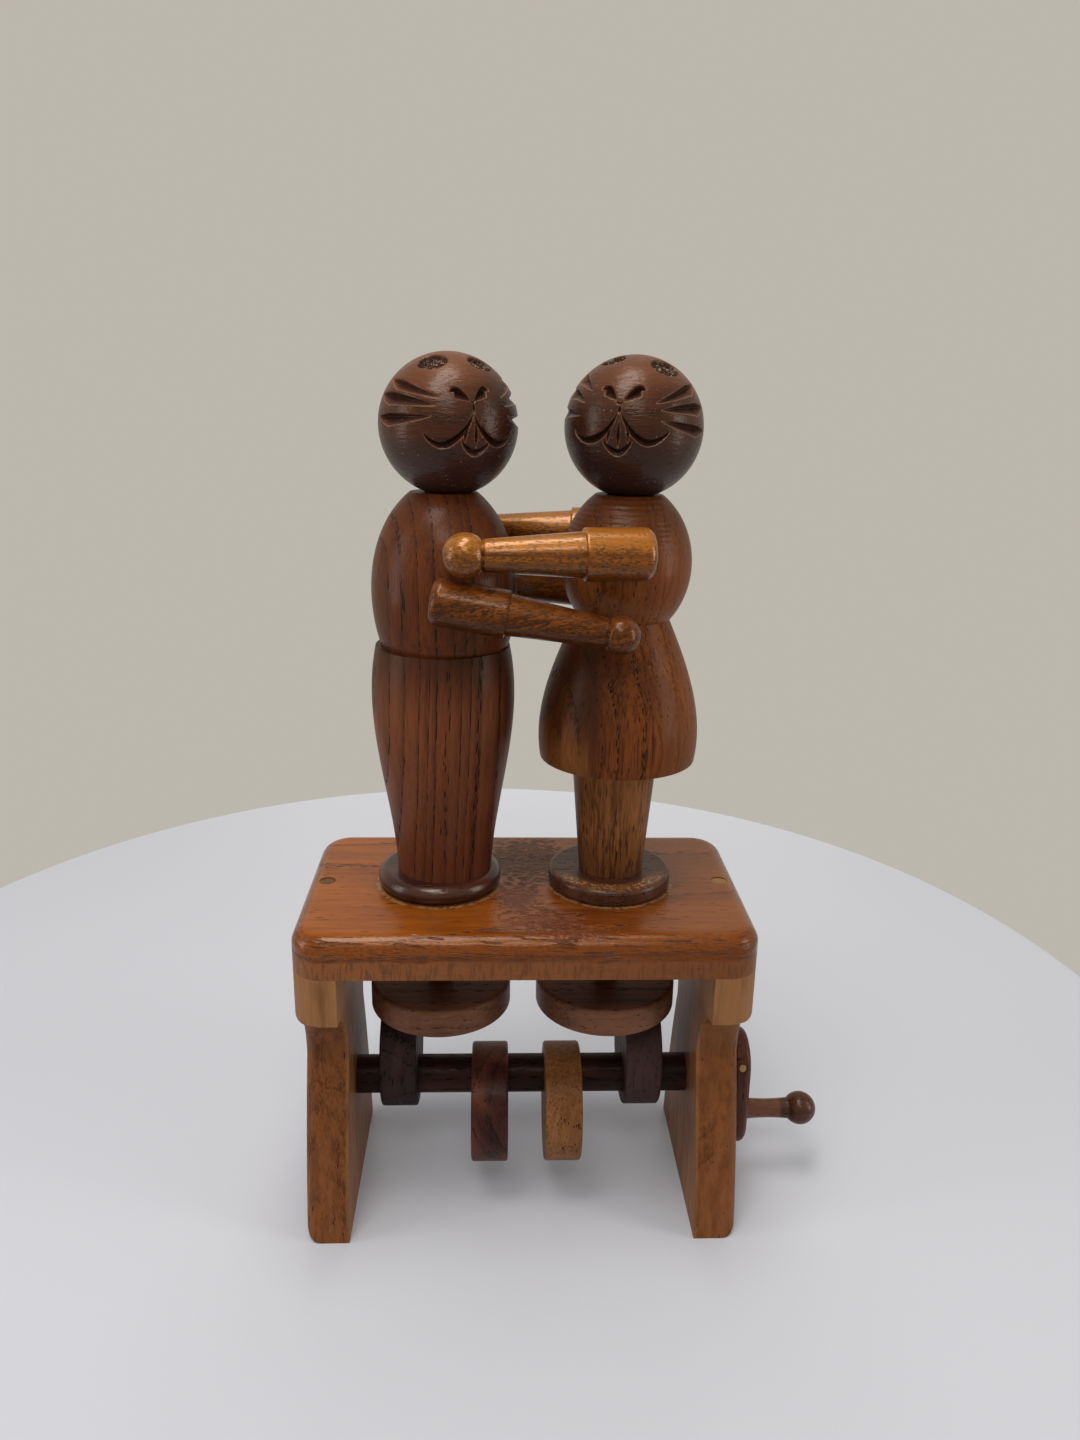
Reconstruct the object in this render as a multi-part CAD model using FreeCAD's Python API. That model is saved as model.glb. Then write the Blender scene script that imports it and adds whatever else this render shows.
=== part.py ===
import FreeCAD, Part

import math
import os

from FreeCAD import Vector

# A hand-cranked wooden automaton: a low table on two shaped side panels, with a
# camshaft under it and two turned figures, arm in arm, on top of it. Each figure
# stands on a spindle that drops through the table to a round follower disc, and
# two eccentric cams under every disc lift it and rub it round, one way and then
# the other. Millimetres, +Z up, +X towards the crank, -Y towards the viewer.

# ---- Table and side panels
DECK_LENGTH = 110.0
DECK_WIDTH = 62.0
DECK_THICKNESS = 10.5
DECK_CORNER = 8.0          # plan radius of the four corners
DECK_EDGE_ROUND = 4.0      # rounding along the top edge
DECK_UNDERSIDE = 77.9      # height of the underside above the ground
PANEL_THICKNESS = 11.0
PANEL_SHOULDER = 12.2      # depth of the full-width shoulder under the deck
WAIST_HALF_WIDTH = 15.0
WAIST_HEIGHT = 47.0
FOOT_HALF_WIDTH = 26.5
COVE_SET_IN = 4.6          # how far the cove bows in from a straight line
FLARE_BOW = 1.6            # how far the leg bows out from a straight line
FOOT_SPREAD = 0.14         # sideways slope of the leg where it meets the ground
WAIST_CREASE_ROUND = 1.5
PANEL_EDGE_ROUND = 3.2
PANEL_FOOT_ROUND = 4.0     # the outer corner where the leg meets the ground
PANEL_TRIM = 6.0           # leg that is shaped long and then sawn off level
PEG_DIAMETER = 4.2         # dowels that hold the deck on the panels
PEG_DEPTH_IN_PANEL = 13.0
PEG_INSET = 5.0            # from the end of the deck to the dowel's axis
PEG_DOME = 0.3             # the head's rim is this much lower than its middle

# ---- Camshaft and crank
SHAFT_DIAMETER = 10.0
SHAFT_HEIGHT = 31.5
SHAFT_FIT = 0.05           # radial running clearance in the panels
SHAFT_END_SETBACK = 0.4    # left end, inside the panel's outer face
SHAFT_CHAMFER = 0.5
CAM_RADIUS = 15.2
CAM_THROW = 7.0            # from the shaft's axis to the cam's centre
CAM_THICKNESS = 9.5
CAM_EDGE_ROUND = 0.7
CAM_LEAN = 39.0            # degrees that the outer lobes lean back from upright
LEFT_OUTER_CAM_X = -32.5
LEFT_INNER_CAM_X = -8.6
RIGHT_INNER_CAM_X = 10.5
RIGHT_OUTER_CAM_X = 31.7
CRANK_GAP = 0.7            # between the panel and the crank arm
CRANK_THICKNESS = 5.0
CRANK_HALF_WIDTH = 8.5
CRANK_THROW = 12.0
CRANK_END_ABOVE_SHAFT = 3.9    # centre of the arm's round top end
CRANK_EDGE_ROUND = 1.7
CRANK_PIN_DIAMETER = 1.8
CRANK_PIN_TILT = 38.0      # degrees above level at which the pin enters the arm
CRANK_PIN_IN_SHAFT = 3.5
HANDLE_DIAMETER = 5.6
HANDLE_WAIST_DIAMETER = 5.0
HANDLE_COLLAR = 1.0        # straight part of the grip next to the arm
HANDLE_LENGTH = 16.2       # from the arm to the centre of the knob
KNOB_RADIUS = 4.4

# ---- Followers and spindles
FIGURE_X = 21.5            # both spindles, either side of the deck's middle
FOLLOWER_RADIUS = 18.1
FOLLOWER_THICKNESS = 7.5
FOLLOWER_EDGE_ROUND = 0.9
FOLLOWER_CLEARANCE = 0.3   # over the highest point that a lobe reaches
SPINDLE_DIAMETER = 6.5
SPINDLE_FIT = 0.05         # radial, in the disc and the figure that it carries
SPINDLE_IN_DECK = 0.25     # radial, in the deck's hole
SPINDLE_IN_FIGURE = 22.0   # how far it reaches above the deck
SPINDLE_TOP_GAP = 0.4
SPINDLE_CHAMFER = 0.4

# ---- Figures: heights are above the top of the deck, and each turned piece
# sits a little off the spindle's axis, because both figures lean to the crank
LEFT_TROUSERS_OFFSET = 1.3
LEFT_TORSO_OFFSET = 1.8
LEFT_HEAD_OFFSET = 3.0
RIGHT_LEGS_OFFSET = 0.3
RIGHT_SKIRT_OFFSET = 0.8
RIGHT_TORSO_OFFSET = 1.4
RIGHT_HEAD_OFFSET = 1.8

FOOT_RADIUS = 15.4
ROUND_FOOT_THICKNESS = 4.8
FLAT_FOOT_THICKNESS = 4.3
FLAT_FOOT_EDGE_ROUND = 1.2

TROUSER_ANKLE_RADIUS = 11.7
TROUSER_KNEE = (13.8, 22.5)        # (radius, height)
TROUSER_HIP = (17.1, 48.0)
TROUSER_WAIST = (15.9, 61.8)
LEFT_TORSO_WAIST_RADIUS = 15.0
LEFT_CHEST = (16.9, 19.4)          # (radius, depth below the top of the torso)

LEG_ANKLE_RADIUS = 8.0
LEG_TOP_RADIUS = 11.0
LEG_IN_SKIRT = 6.0
SKIRT_HEM = (18.9, 34.2)
SKIRT_FULLEST = (19.35, 38.5)
SKIRT_HIP = (17.4, 52.5)
SKIRT_WAIST = (11.0, 69.0)
RIGHT_CHEST = (15.1, 13.9)

SHOULDER_RADIUS = 12.0
SHOULDER_DROP = 4.6        # below the top of the torso
TORSO_TOP = 97.4
TORSO_TOP_RADIUS = 7.8
WAIST_SPIGOT_RADIUS = 6.0
WAIST_SPIGOT_LENGTH = 9.0

HEAD_RADIUS = 15.7
HEAD_CENTRE = 112.2
NECK_PEG_DIAMETER = 6.0
NECK_PEG_IN_TORSO = 8.0    # below the top of the torso
NECK_PEG_IN_HEAD = 8.9     # above the bottom of the head

# ---- Arms
RIGHT_ARM = {
    "length": 45.8, "sleeve_radius": 5.8, "sleeve_length": 15.5, "elbow_radius": 5.0,
    "wrist_radius": 3.5, "hand_radius": 4.95, "shoulder_round": 2.4,
}
LEFT_ARM = {
    "length": 46.2, "sleeve_radius": 5.3, "sleeve_length": 17.0, "elbow_radius": 4.6,
    "wrist_radius": 3.3, "hand_radius": 4.4, "shoulder_round": 2.0,
}
RIGHT_ARM_DROP = 11.0      # from the top of the torso to the peg
LEFT_ARM_DROP = 22.0
RIGHT_ARM_SLOPE = 0.3      # degrees down towards the hand
LEFT_ARM_SLOPE = 9.6
RIGHT_ARM_TOE_OUT = 5.8    # degrees, so that the hands pass beside the partner
LEFT_ARM_TOE_OUT = 2.6
ARM_SEAT = 0.3             # how deep a sleeve is hollowed to sit on its torso
SHOULDER_PEG_DIAMETER = 4.0
SHOULDER_PEG_IN_SLEEVE = 1.6   # past the sleeve's axis
LEFT_PEG_AHEAD = 3.2       # how far ahead of the torso's axis the arms are pegged
RIGHT_PEG_AHEAD = 2.2

# ---- Modelling: how far cutting tools run past what they cut, and how near two
# coordinates must be to count as the same when edges are picked
OVERRUN = 1.0
TOUCH = 0.01

# ---- Sizes that follow from the ones above
DECK_TOP = DECK_UNDERSIDE + DECK_THICKNESS
PANEL_INNER_X = DECK_LENGTH / 2 - PANEL_THICKNESS
SHOULDER_BOTTOM = DECK_UNDERSIDE - PANEL_SHOULDER
CAM_REACH = CAM_RADIUS + CAM_THROW
FOLLOWER_BOTTOM = SHAFT_HEIGHT + CAM_REACH + FOLLOWER_CLEARANCE
CRANK_INNER_X = DECK_LENGTH / 2 + CRANK_GAP
CRANK_OUTER_X = CRANK_INNER_X + CRANK_THICKNESS
CRANK_REACH_X = CRANK_OUTER_X + HANDLE_LENGTH + KNOB_RADIUS

X_AXIS = Vector(1, 0, 0)
Y_AXIS = Vector(0, 1, 0)
Z_AXIS = Vector(0, 0, 1)


# ---- Small helpers
def line(a, b):
    """A straight edge between two (radius or x, height) points of a profile."""
    return Part.LineSegment(Vector(a[0], 0, a[1]), Vector(b[0], 0, b[1])).toShape()


def arc(a, middle, b):
    """A round edge through three points of a profile."""
    ends = [Vector(p[0], 0, p[1]) for p in (a, middle, b)]
    return Part.Arc(*ends).toShape()


def curve(points):
    """A smooth edge through a few points of a profile."""
    spline = Part.BSplineCurve()
    spline.interpolate([Vector(r, 0, z) for r, z in points])
    return spline.toShape()


def turned(*edges):
    """A piece turned on the lathe: a closed half profile spun round the Z axis."""
    wire = Part.Wire(Part.__sortEdges__(list(edges)))
    return Part.Face(wire).revolve(Vector(), Z_AXIS, 360)


def rounded_corner(corner, radius, along, across):
    """Three points of a quarter round that replaces a profile corner.

    along and across point from the corner back along its two sides."""
    cx = corner[0] + radius * (along[0] + across[0])
    cz = corner[1] + radius * (along[1] + across[1])
    half = radius * math.sqrt(0.5)
    start = (corner[0] + radius * along[0], corner[1] + radius * along[1])
    end = (corner[0] + radius * across[0], corner[1] + radius * across[1])
    middle = (cx - half * (along[0] + across[0]), cz - half * (along[1] + across[1]))
    return start, middle, end


def dome(radius, height, drop):
    """The round top of a turned piece, whose rim is lower than its middle by drop."""
    sphere = (radius ** 2 + drop ** 2) / (2 * drop)
    half = radius / 2
    half_height = height - sphere + math.sqrt(sphere ** 2 - half ** 2)
    return arc((radius, height - drop), (half, half_height), (0, height))


def rod(radius, length, start, direction):
    return Part.makeCylinder(radius, length, start, direction)


def bow_point(a, b, offset):
    """The middle of a line between two points, moved sideways by offset."""
    length = math.dist(a, b)
    normal = ((b[1] - a[1]) / length, -(b[0] - a[0]) / length)
    return (
        (a[0] + b[0]) / 2 + offset * normal[0],
        (a[1] + b[1]) / 2 + offset * normal[1],
    )


def moved(shape, x=0.0, y=0.0, z=0.0):
    shape.translate(Vector(x, y, z))
    return shape


# ---- Table
def rounded_block(bottom, height):
    """The deck's outline in plan, pulled up from one height."""
    half_length = DECK_LENGTH / 2
    half_width = DECK_WIDTH / 2
    block = Part.makeBox(
        DECK_LENGTH, DECK_WIDTH, height, Vector(-half_length, -half_width, bottom)
    )
    corners = [e for e in block.Edges if abs(e.tangentAt(e.FirstParameter).z) > 0.9]
    return block.makeFillet(DECK_CORNER, corners)


def peg_positions():
    return [side * (DECK_LENGTH / 2 - PEG_INSET) for side in (-1, 1)]


def peg(x):
    """One dowel down through the deck into a panel, with a slightly domed head."""
    radius = PEG_DIAMETER / 2
    bottom = DECK_UNDERSIDE - PEG_DEPTH_IN_PANEL
    dowel = turned(
        line((0, bottom), (radius, bottom)),
        line((radius, bottom), (radius, DECK_TOP - PEG_DOME)),
        dome(radius, DECK_TOP, PEG_DOME),
        line((0, DECK_TOP), (0, bottom)),
    )
    return moved(dowel, x=x)


def peg_hole(x):
    start = Vector(x, 0, DECK_UNDERSIDE - PEG_DEPTH_IN_PANEL)
    length = PEG_DEPTH_IN_PANEL + DECK_THICKNESS + OVERRUN
    return rod(PEG_DIAMETER / 2, length, start, Z_AXIS)


def make_deck():
    block = rounded_block(DECK_UNDERSIDE, DECK_THICKNESS)
    top_edges = [e for e in block.Edges if e.BoundBox.ZMin > DECK_TOP - TOUCH]
    deck = block.makeFillet(DECK_EDGE_ROUND, top_edges)
    hole_radius = SPINDLE_DIAMETER / 2 + SPINDLE_IN_DECK
    for side in (-1, 1):
        start = Vector(side * FIGURE_X, 0, DECK_UNDERSIDE - OVERRUN)
        deck = deck.cut(rod(hole_radius, DECK_THICKNESS + 2 * OVERRUN, start, Z_AXIS))
    for x in peg_positions():
        deck = deck.cut(peg_hole(x))
    return deck


def panel_outline():
    """The panel seen from its end: shoulder, cove, waist and spreading leg."""
    half = DECK_WIDTH / 2
    top = (half, DECK_UNDERSIDE)
    shoulder = (half, SHOULDER_BOTTOM)
    waist = (WAIST_HALF_WIDTH, WAIST_HEIGHT)
    foot = (FOOT_HALF_WIDTH + FOOT_SPREAD * PANEL_TRIM, -PANEL_TRIM)
    edges = []
    for side in (1, -1):
        points = [(side * p[0], p[1]) for p in (top, shoulder, waist, foot)]
        cove_middle = bow_point(shoulder, waist, COVE_SET_IN)
        flare_middle = bow_point(waist, foot, -FLARE_BOW)
        edges.append(line(points[0], points[1]))
        edges.append(arc(points[1], (side * cove_middle[0], cove_middle[1]), points[2]))
        edges.append(arc(points[2], (side * flare_middle[0], flare_middle[1]), points[3]))
    edges.append(line((half, DECK_UNDERSIDE), (-half, DECK_UNDERSIDE)))
    edges.append(line((-foot[0], foot[1]), foot))
    return Part.Face(Part.Wire(Part.__sortEdges__(edges)))


def foot_corner(side):
    """What is rounded off the outer corner of a leg along the ground."""
    half = DECK_LENGTH / 2
    centre_x = half - PANEL_FOOT_ROUND
    block = Part.makeBox(
        PANEL_FOOT_ROUND + OVERRUN, DECK_WIDTH, PANEL_FOOT_ROUND + OVERRUN,
        Vector(centre_x, -DECK_WIDTH / 2, -OVERRUN),
    )
    start = Vector(centre_x, -DECK_WIDTH / 2, PANEL_FOOT_ROUND)
    corner = block.cut(rod(PANEL_FOOT_ROUND, DECK_WIDTH, start, Y_AXIS))
    return corner if side > 0 else corner.mirror(Vector(), X_AXIS)


def make_panel(side):
    """One side panel: side is -1 on the left and 1 on the crank's side."""
    face = panel_outline()
    face.rotate(Vector(), Z_AXIS, 90)
    face.translate(Vector(side * PANEL_INNER_X, 0, 0))
    panel = face.extrude(Vector(side * PANEL_THICKNESS, 0, 0))
    creases = [
        e for e in panel.Edges
        if e.BoundBox.XLength > PANEL_THICKNESS / 2 and abs(e.CenterOfMass.z - WAIST_HEIGHT) < TOUCH
    ]
    panel = panel.makeFillet(WAIST_CREASE_ROUND, creases)
    outer_x = side * DECK_LENGTH / 2
    rounded = [
        e for e in panel.Edges
        if abs(e.BoundBox.Center.x - outer_x) < TOUCH
        and e.BoundBox.XLength < TOUCH
        and -PANEL_TRIM / 2 < e.CenterOfMass.z < SHOULDER_BOTTOM
    ]
    panel = panel.makeFillet(PANEL_EDGE_ROUND, rounded)
    # The shoulder follows the deck's corners, and the leg ends level on the ground
    shoulder_band = Part.makeBox(
        DECK_LENGTH, DECK_WIDTH, DECK_UNDERSIDE - WAIST_HEIGHT,
        Vector(-DECK_LENGTH / 2, -DECK_WIDTH / 2, WAIST_HEIGHT),
    )
    corners = shoulder_band.cut(rounded_block(WAIST_HEIGHT, DECK_UNDERSIDE - WAIST_HEIGHT))
    sawn_off = Part.makeBox(
        DECK_LENGTH, DECK_WIDTH, PANEL_TRIM,
        Vector(-DECK_LENGTH / 2, -DECK_WIDTH / 2, -PANEL_TRIM),
    )
    panel = panel.cut([corners, sawn_off]).cut(foot_corner(side))
    bore = rod(
        SHAFT_DIAMETER / 2 + SHAFT_FIT,
        PANEL_THICKNESS + 2 * OVERRUN,
        Vector(side * (PANEL_INNER_X - OVERRUN), 0, SHAFT_HEIGHT),
        X_AXIS * side,
    )
    return panel.cut(bore).cut(peg_hole(side * (DECK_LENGTH / 2 - PEG_INSET)))


# ---- Camshaft and crank
def handle_axis_height():
    return SHAFT_HEIGHT - CRANK_THROW


def crank_arm_blank():
    """The round-ended lever before it is bored."""
    top_height = SHAFT_HEIGHT + CRANK_END_ABOVE_SHAFT
    low_height = handle_axis_height()
    top, low = [
        rod(CRANK_HALF_WIDTH, CRANK_THICKNESS, Vector(CRANK_INNER_X, 0, height), X_AXIS)
        for height in (top_height, low_height)
    ]
    web = Part.makeBox(
        CRANK_THICKNESS, 2 * CRANK_HALF_WIDTH, top_height - low_height,
        Vector(CRANK_INNER_X, -CRANK_HALF_WIDTH, low_height),
    )
    arm = top.fuse([low, web]).removeSplitter()
    outline = [e for e in arm.Edges if e.BoundBox.XLength < TOUCH]
    return arm.makeFillet(CRANK_EDGE_ROUND, outline)


def crank_pin():
    """A thin pin, driven through the arm's rounded end into the shaft."""
    tilt = math.radians(CRANK_PIN_TILT)
    outward = Vector(0, -math.cos(tilt), math.sin(tilt))
    middle = Vector(CRANK_INNER_X + CRANK_THICKNESS / 2, 0, SHAFT_HEIGHT)
    start = middle + outward * (SHAFT_DIAMETER / 2 - CRANK_PIN_IN_SHAFT)
    pin = rod(CRANK_PIN_DIAMETER / 2, 2 * CRANK_HALF_WIDTH, start, outward)
    return pin.common(crank_arm_blank())


def make_shaft():
    left = -DECK_LENGTH / 2 + SHAFT_END_SETBACK
    start = Vector(left, 0, SHAFT_HEIGHT)
    shaft = rod(SHAFT_DIAMETER / 2, CRANK_OUTER_X - left, start, X_AXIS)
    ends = [e for e in shaft.Edges if e.BoundBox.XMax < left + TOUCH]
    return shaft.makeChamfer(SHAFT_CHAMFER, ends).cut(crank_pin())


def make_cam(x, lobe):
    """An eccentric disc on the shaft. lobe is 1 for one that leans up and back,
    and -1 for one that points the other way."""
    lean = math.radians(CAM_LEAN)
    centre = Vector(
        x - CAM_THICKNESS / 2,
        lobe * CAM_THROW * math.sin(lean),
        SHAFT_HEIGHT + lobe * CAM_THROW * math.cos(lean),
    )
    disc = rod(CAM_RADIUS, CAM_THICKNESS, centre, X_AXIS)
    rims = [e for e in disc.Edges if e.BoundBox.XLength < TOUCH]
    disc = disc.makeFillet(CAM_EDGE_ROUND, rims)
    start = Vector(x - CAM_THICKNESS, 0, SHAFT_HEIGHT)
    return disc.cut(rod(SHAFT_DIAMETER / 2, 2 * CAM_THICKNESS, start, X_AXIS))


def make_crank_arm():
    """The lever on the shaft's end, bored for the shaft, the handle and the pin."""
    arm = crank_arm_blank()
    for diameter, height in ((SHAFT_DIAMETER, SHAFT_HEIGHT), (HANDLE_DIAMETER, handle_axis_height())):
        start = Vector(CRANK_INNER_X - OVERRUN, 0, height)
        arm = arm.cut(rod(diameter / 2, CRANK_THICKNESS + 2 * OVERRUN, start, X_AXIS))
    return arm.cut(crank_pin())


def make_handle():
    """A turned grip: a tenon in the arm, a slim neck and a ball."""
    tenon = HANDLE_DIAMETER / 2
    neck = HANDLE_WAIST_DIAMETER / 2
    collar_end = CRANK_THICKNESS + HANDLE_COLLAR
    centre = CRANK_THICKNESS + HANDLE_LENGTH
    meet = centre - math.sqrt(KNOB_RADIUS ** 2 - tenon ** 2)
    handle = turned(
        line((0, 0), (tenon, 0)),
        line((tenon, 0), (tenon, collar_end)),
        curve([(tenon, collar_end), (neck, (collar_end + meet) / 2), (tenon, meet)]),
        arc((tenon, meet), (KNOB_RADIUS, centre), (0, centre + KNOB_RADIUS)),
        line((0, centre + KNOB_RADIUS), (0, 0)),
    )
    handle.rotate(Vector(), Y_AXIS, 90)
    return moved(handle, x=CRANK_INNER_X, z=handle_axis_height())


# ---- Followers and spindles
def figure_bore(x):
    """The hole in a figure and its follower that its spindle turns in."""
    bottom = FOLLOWER_BOTTOM - OVERRUN
    top = DECK_TOP + SPINDLE_IN_FIGURE + SPINDLE_TOP_GAP
    start = Vector(x, 0, bottom)
    return rod(SPINDLE_DIAMETER / 2 + SPINDLE_FIT, top - bottom, start, Z_AXIS)


def level_edges(shape):
    """The edges of an upright disc or rod that lie flat: its rims."""
    return [e for e in shape.Edges if e.BoundBox.ZLength < TOUCH]


def make_spindle(x):
    length = DECK_TOP + SPINDLE_IN_FIGURE - FOLLOWER_BOTTOM
    start = Vector(x, 0, FOLLOWER_BOTTOM)
    spindle = rod(SPINDLE_DIAMETER / 2, length, start, Z_AXIS)
    return spindle.makeChamfer(SPINDLE_CHAMFER, level_edges(spindle))


def make_follower(x):
    start = Vector(x, 0, FOLLOWER_BOTTOM)
    disc = rod(FOLLOWER_RADIUS, FOLLOWER_THICKNESS, start, Z_AXIS)
    return disc.makeFillet(FOLLOWER_EDGE_ROUND, level_edges(disc)).cut(figure_bore(x))


# ---- Figures
def make_round_foot():
    """The left figure's foot: a disc with a fully rounded rim."""
    half = ROUND_FOOT_THICKNESS / 2
    rim = FOOT_RADIUS - half
    foot = turned(
        line((0, 0), (rim, 0)),
        arc((rim, 0), (FOOT_RADIUS, half), (rim, ROUND_FOOT_THICKNESS)),
        line((rim, ROUND_FOOT_THICKNESS), (0, ROUND_FOOT_THICKNESS)),
        line((0, ROUND_FOOT_THICKNESS), (0, 0)),
    )
    return moved(foot, x=-FIGURE_X, z=DECK_TOP).cut(figure_bore(-FIGURE_X))


def make_flat_foot():
    """The right figure's foot: a flat disc with eased edges."""
    start = Vector(FIGURE_X, 0, DECK_TOP)
    disc = rod(FOOT_RADIUS, FLAT_FOOT_THICKNESS, start, Z_AXIS)
    return disc.makeFillet(FLAT_FOOT_EDGE_ROUND, level_edges(disc)).cut(figure_bore(FIGURE_X))


def make_trousers(torso):
    waist_radius, waist = TROUSER_WAIST
    bottom = ROUND_FOOT_THICKNESS
    outline = [(TROUSER_ANKLE_RADIUS, bottom), TROUSER_KNEE, TROUSER_HIP, TROUSER_WAIST]
    trousers = turned(
        line((0, bottom), (TROUSER_ANKLE_RADIUS, bottom)),
        curve(outline),
        line((waist_radius, waist), (0, waist)),
        line((0, waist), (0, bottom)),
    )
    trousers = moved(trousers, x=-FIGURE_X + LEFT_TROUSERS_OFFSET, z=DECK_TOP)
    return trousers.cut([figure_bore(-FIGURE_X), torso])


def make_legs():
    bottom = FLAT_FOOT_THICKNESS
    top = SKIRT_HEM[1] + LEG_IN_SKIRT
    legs = turned(
        line((0, bottom), (LEG_ANKLE_RADIUS, bottom)),
        line((LEG_ANKLE_RADIUS, bottom), (LEG_TOP_RADIUS, top)),
        line((LEG_TOP_RADIUS, top), (0, top)),
        line((0, top), (0, bottom)),
    )
    return moved(legs, x=FIGURE_X + RIGHT_LEGS_OFFSET, z=DECK_TOP).cut(figure_bore(FIGURE_X))


def make_skirt(legs, torso):
    hem_radius, hem = SKIRT_HEM
    waist_radius, waist = SKIRT_WAIST
    skirt = turned(
        line((0, hem), (hem_radius, hem)),
        curve([SKIRT_HEM, SKIRT_FULLEST, SKIRT_HIP, SKIRT_WAIST]),
        line((waist_radius, waist), (0, waist)),
        line((0, waist), (0, hem)),
    )
    skirt = moved(skirt, x=FIGURE_X + RIGHT_SKIRT_OFFSET, z=DECK_TOP)
    return skirt.cut([legs, torso])


def make_torso(x, waist_radius, waist, chest):
    """A barrel of a torso, with a spigot at the waist and a flat for the head."""
    shoulder = (SHOULDER_RADIUS, TORSO_TOP - SHOULDER_DROP)
    fullest = (chest[0], TORSO_TOP - chest[1])
    foot = waist - WAIST_SPIGOT_LENGTH
    torso = turned(
        line((0, foot), (WAIST_SPIGOT_RADIUS, foot)),
        line((WAIST_SPIGOT_RADIUS, foot), (WAIST_SPIGOT_RADIUS, waist)),
        line((WAIST_SPIGOT_RADIUS, waist), (waist_radius, waist)),
        curve([(waist_radius, waist), fullest, shoulder, (TORSO_TOP_RADIUS, TORSO_TOP)]),
        line((TORSO_TOP_RADIUS, TORSO_TOP), (0, TORSO_TOP)),
        line((0, TORSO_TOP), (0, foot)),
    )
    return moved(torso, x=x, z=DECK_TOP)


def head_ball(x):
    return moved(Part.makeSphere(HEAD_RADIUS), x=x, z=DECK_TOP + HEAD_CENTRE)


def neck_peg(x):
    bottom = TORSO_TOP - NECK_PEG_IN_TORSO
    top = HEAD_CENTRE - HEAD_RADIUS + NECK_PEG_IN_HEAD
    return rod(NECK_PEG_DIAMETER / 2, top - bottom, Vector(x, 0, DECK_TOP + bottom), Z_AXIS)


# ---- Arms
def turned_arm(size):
    """A straight arm turned in one piece: sleeve, forearm and ball hand, from the
    shoulder's end at the origin along +X."""
    sleeve = size["sleeve_radius"]
    cuff = size["sleeve_length"]
    hand = size["hand_radius"]
    centre = size["length"] - hand
    wrist = centre - math.sqrt(hand ** 2 - size["wrist_radius"] ** 2)
    start, middle, end = rounded_corner((sleeve, 0), size["shoulder_round"], (-1, 0), (0, 1))
    arm = turned(
        line((0, 0), start),
        arc(start, middle, end),
        line(end, (sleeve, cuff)),
        line((sleeve, cuff), (size["elbow_radius"], cuff)),
        line((size["elbow_radius"], cuff), (size["wrist_radius"], wrist)),
        arc((size["wrist_radius"], wrist), (hand, centre), (0, size["length"])),
        line((0, size["length"]), (0, 0)),
    )
    arm.rotate(Vector(), Y_AXIS, 90)
    return arm


def torso_radius_at(torso, x, height):
    """How far a torso reaches towards the viewer at one height and one place in X."""
    probe = Part.makeLine(Vector(x, 0, height), Vector(x, -4 * FOOT_RADIUS, height))
    return -torso.common(probe).BoundBox.YMin


def make_arms(torso, facing, size, peg_x, drop, slope, toe_out):
    """Both arms of one figure and the peg through its shoulders.

    facing is 1 for a figure that reaches towards +X and -1 for the other."""
    peg_z = DECK_TOP + TORSO_TOP - drop
    surface = torso_radius_at(torso, peg_x, peg_z)
    arm_y = surface - ARM_SEAT + size["sleeve_radius"]
    reach = arm_y + SHOULDER_PEG_IN_SLEEVE
    shoulder_peg = rod(SHOULDER_PEG_DIAMETER / 2, 2 * reach, Vector(peg_x, -reach, peg_z), Y_AXIS)
    arms = []
    for side in (-1, 1):
        arm = moved(turned_arm(size), x=-size["sleeve_radius"])
        arm.rotate(Vector(), Y_AXIS, slope)
        arm.rotate(Vector(), Z_AXIS, 90 - 90 * facing)
        arm.rotate(Vector(), Z_AXIS, side * facing * toe_out)
        arms.append(moved(arm, peg_x, side * arm_y, peg_z).cut([torso, shoulder_peg]))
    return arms, shoulder_peg


# ---- The whole object
def build_frame():
    return {
        "deck": make_deck(),
        "left_side_panel": make_panel(-1),
        "right_side_panel": make_panel(1),
        "deck_pegs": Part.makeCompound([peg(x) for x in peg_positions()]),
    }


def build_crank():
    return {
        "crank_shaft": make_shaft(),
        "left_outer_cam": make_cam(LEFT_OUTER_CAM_X, 1),
        "left_inner_cam": make_cam(LEFT_INNER_CAM_X, -1),
        "right_inner_cam": make_cam(RIGHT_INNER_CAM_X, -1),
        "right_outer_cam": make_cam(RIGHT_OUTER_CAM_X, 1),
        "crank_arm": make_crank_arm(),
        "crank_pin": crank_pin(),
        "crank_handle": make_handle(),
    }


def build_left_figure():
    axis = -FIGURE_X
    x = axis + LEFT_TORSO_OFFSET
    torso = make_torso(x, LEFT_TORSO_WAIST_RADIUS, TROUSER_WAIST[1], LEFT_CHEST)
    arms, shoulder_peg = make_arms(
        torso, 1, LEFT_ARM, x + LEFT_PEG_AHEAD, LEFT_ARM_DROP, LEFT_ARM_SLOPE, LEFT_ARM_TOE_OUT
    )
    head = head_ball(axis + LEFT_HEAD_OFFSET)
    return {
        "left_spindle": make_spindle(axis),
        "left_follower_disc": make_follower(axis),
        "left_foot": make_round_foot(),
        "left_trousers": make_trousers(torso),
        "left_torso": torso.cut([head, neck_peg(x), shoulder_peg]),
        "left_shoulder_peg": shoulder_peg,
        "left_near_arm": arms[0],
        "left_far_arm": arms[1],
        "left_neck_peg": neck_peg(x),
        "left_head": head.cut(neck_peg(x)),
    }


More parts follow.
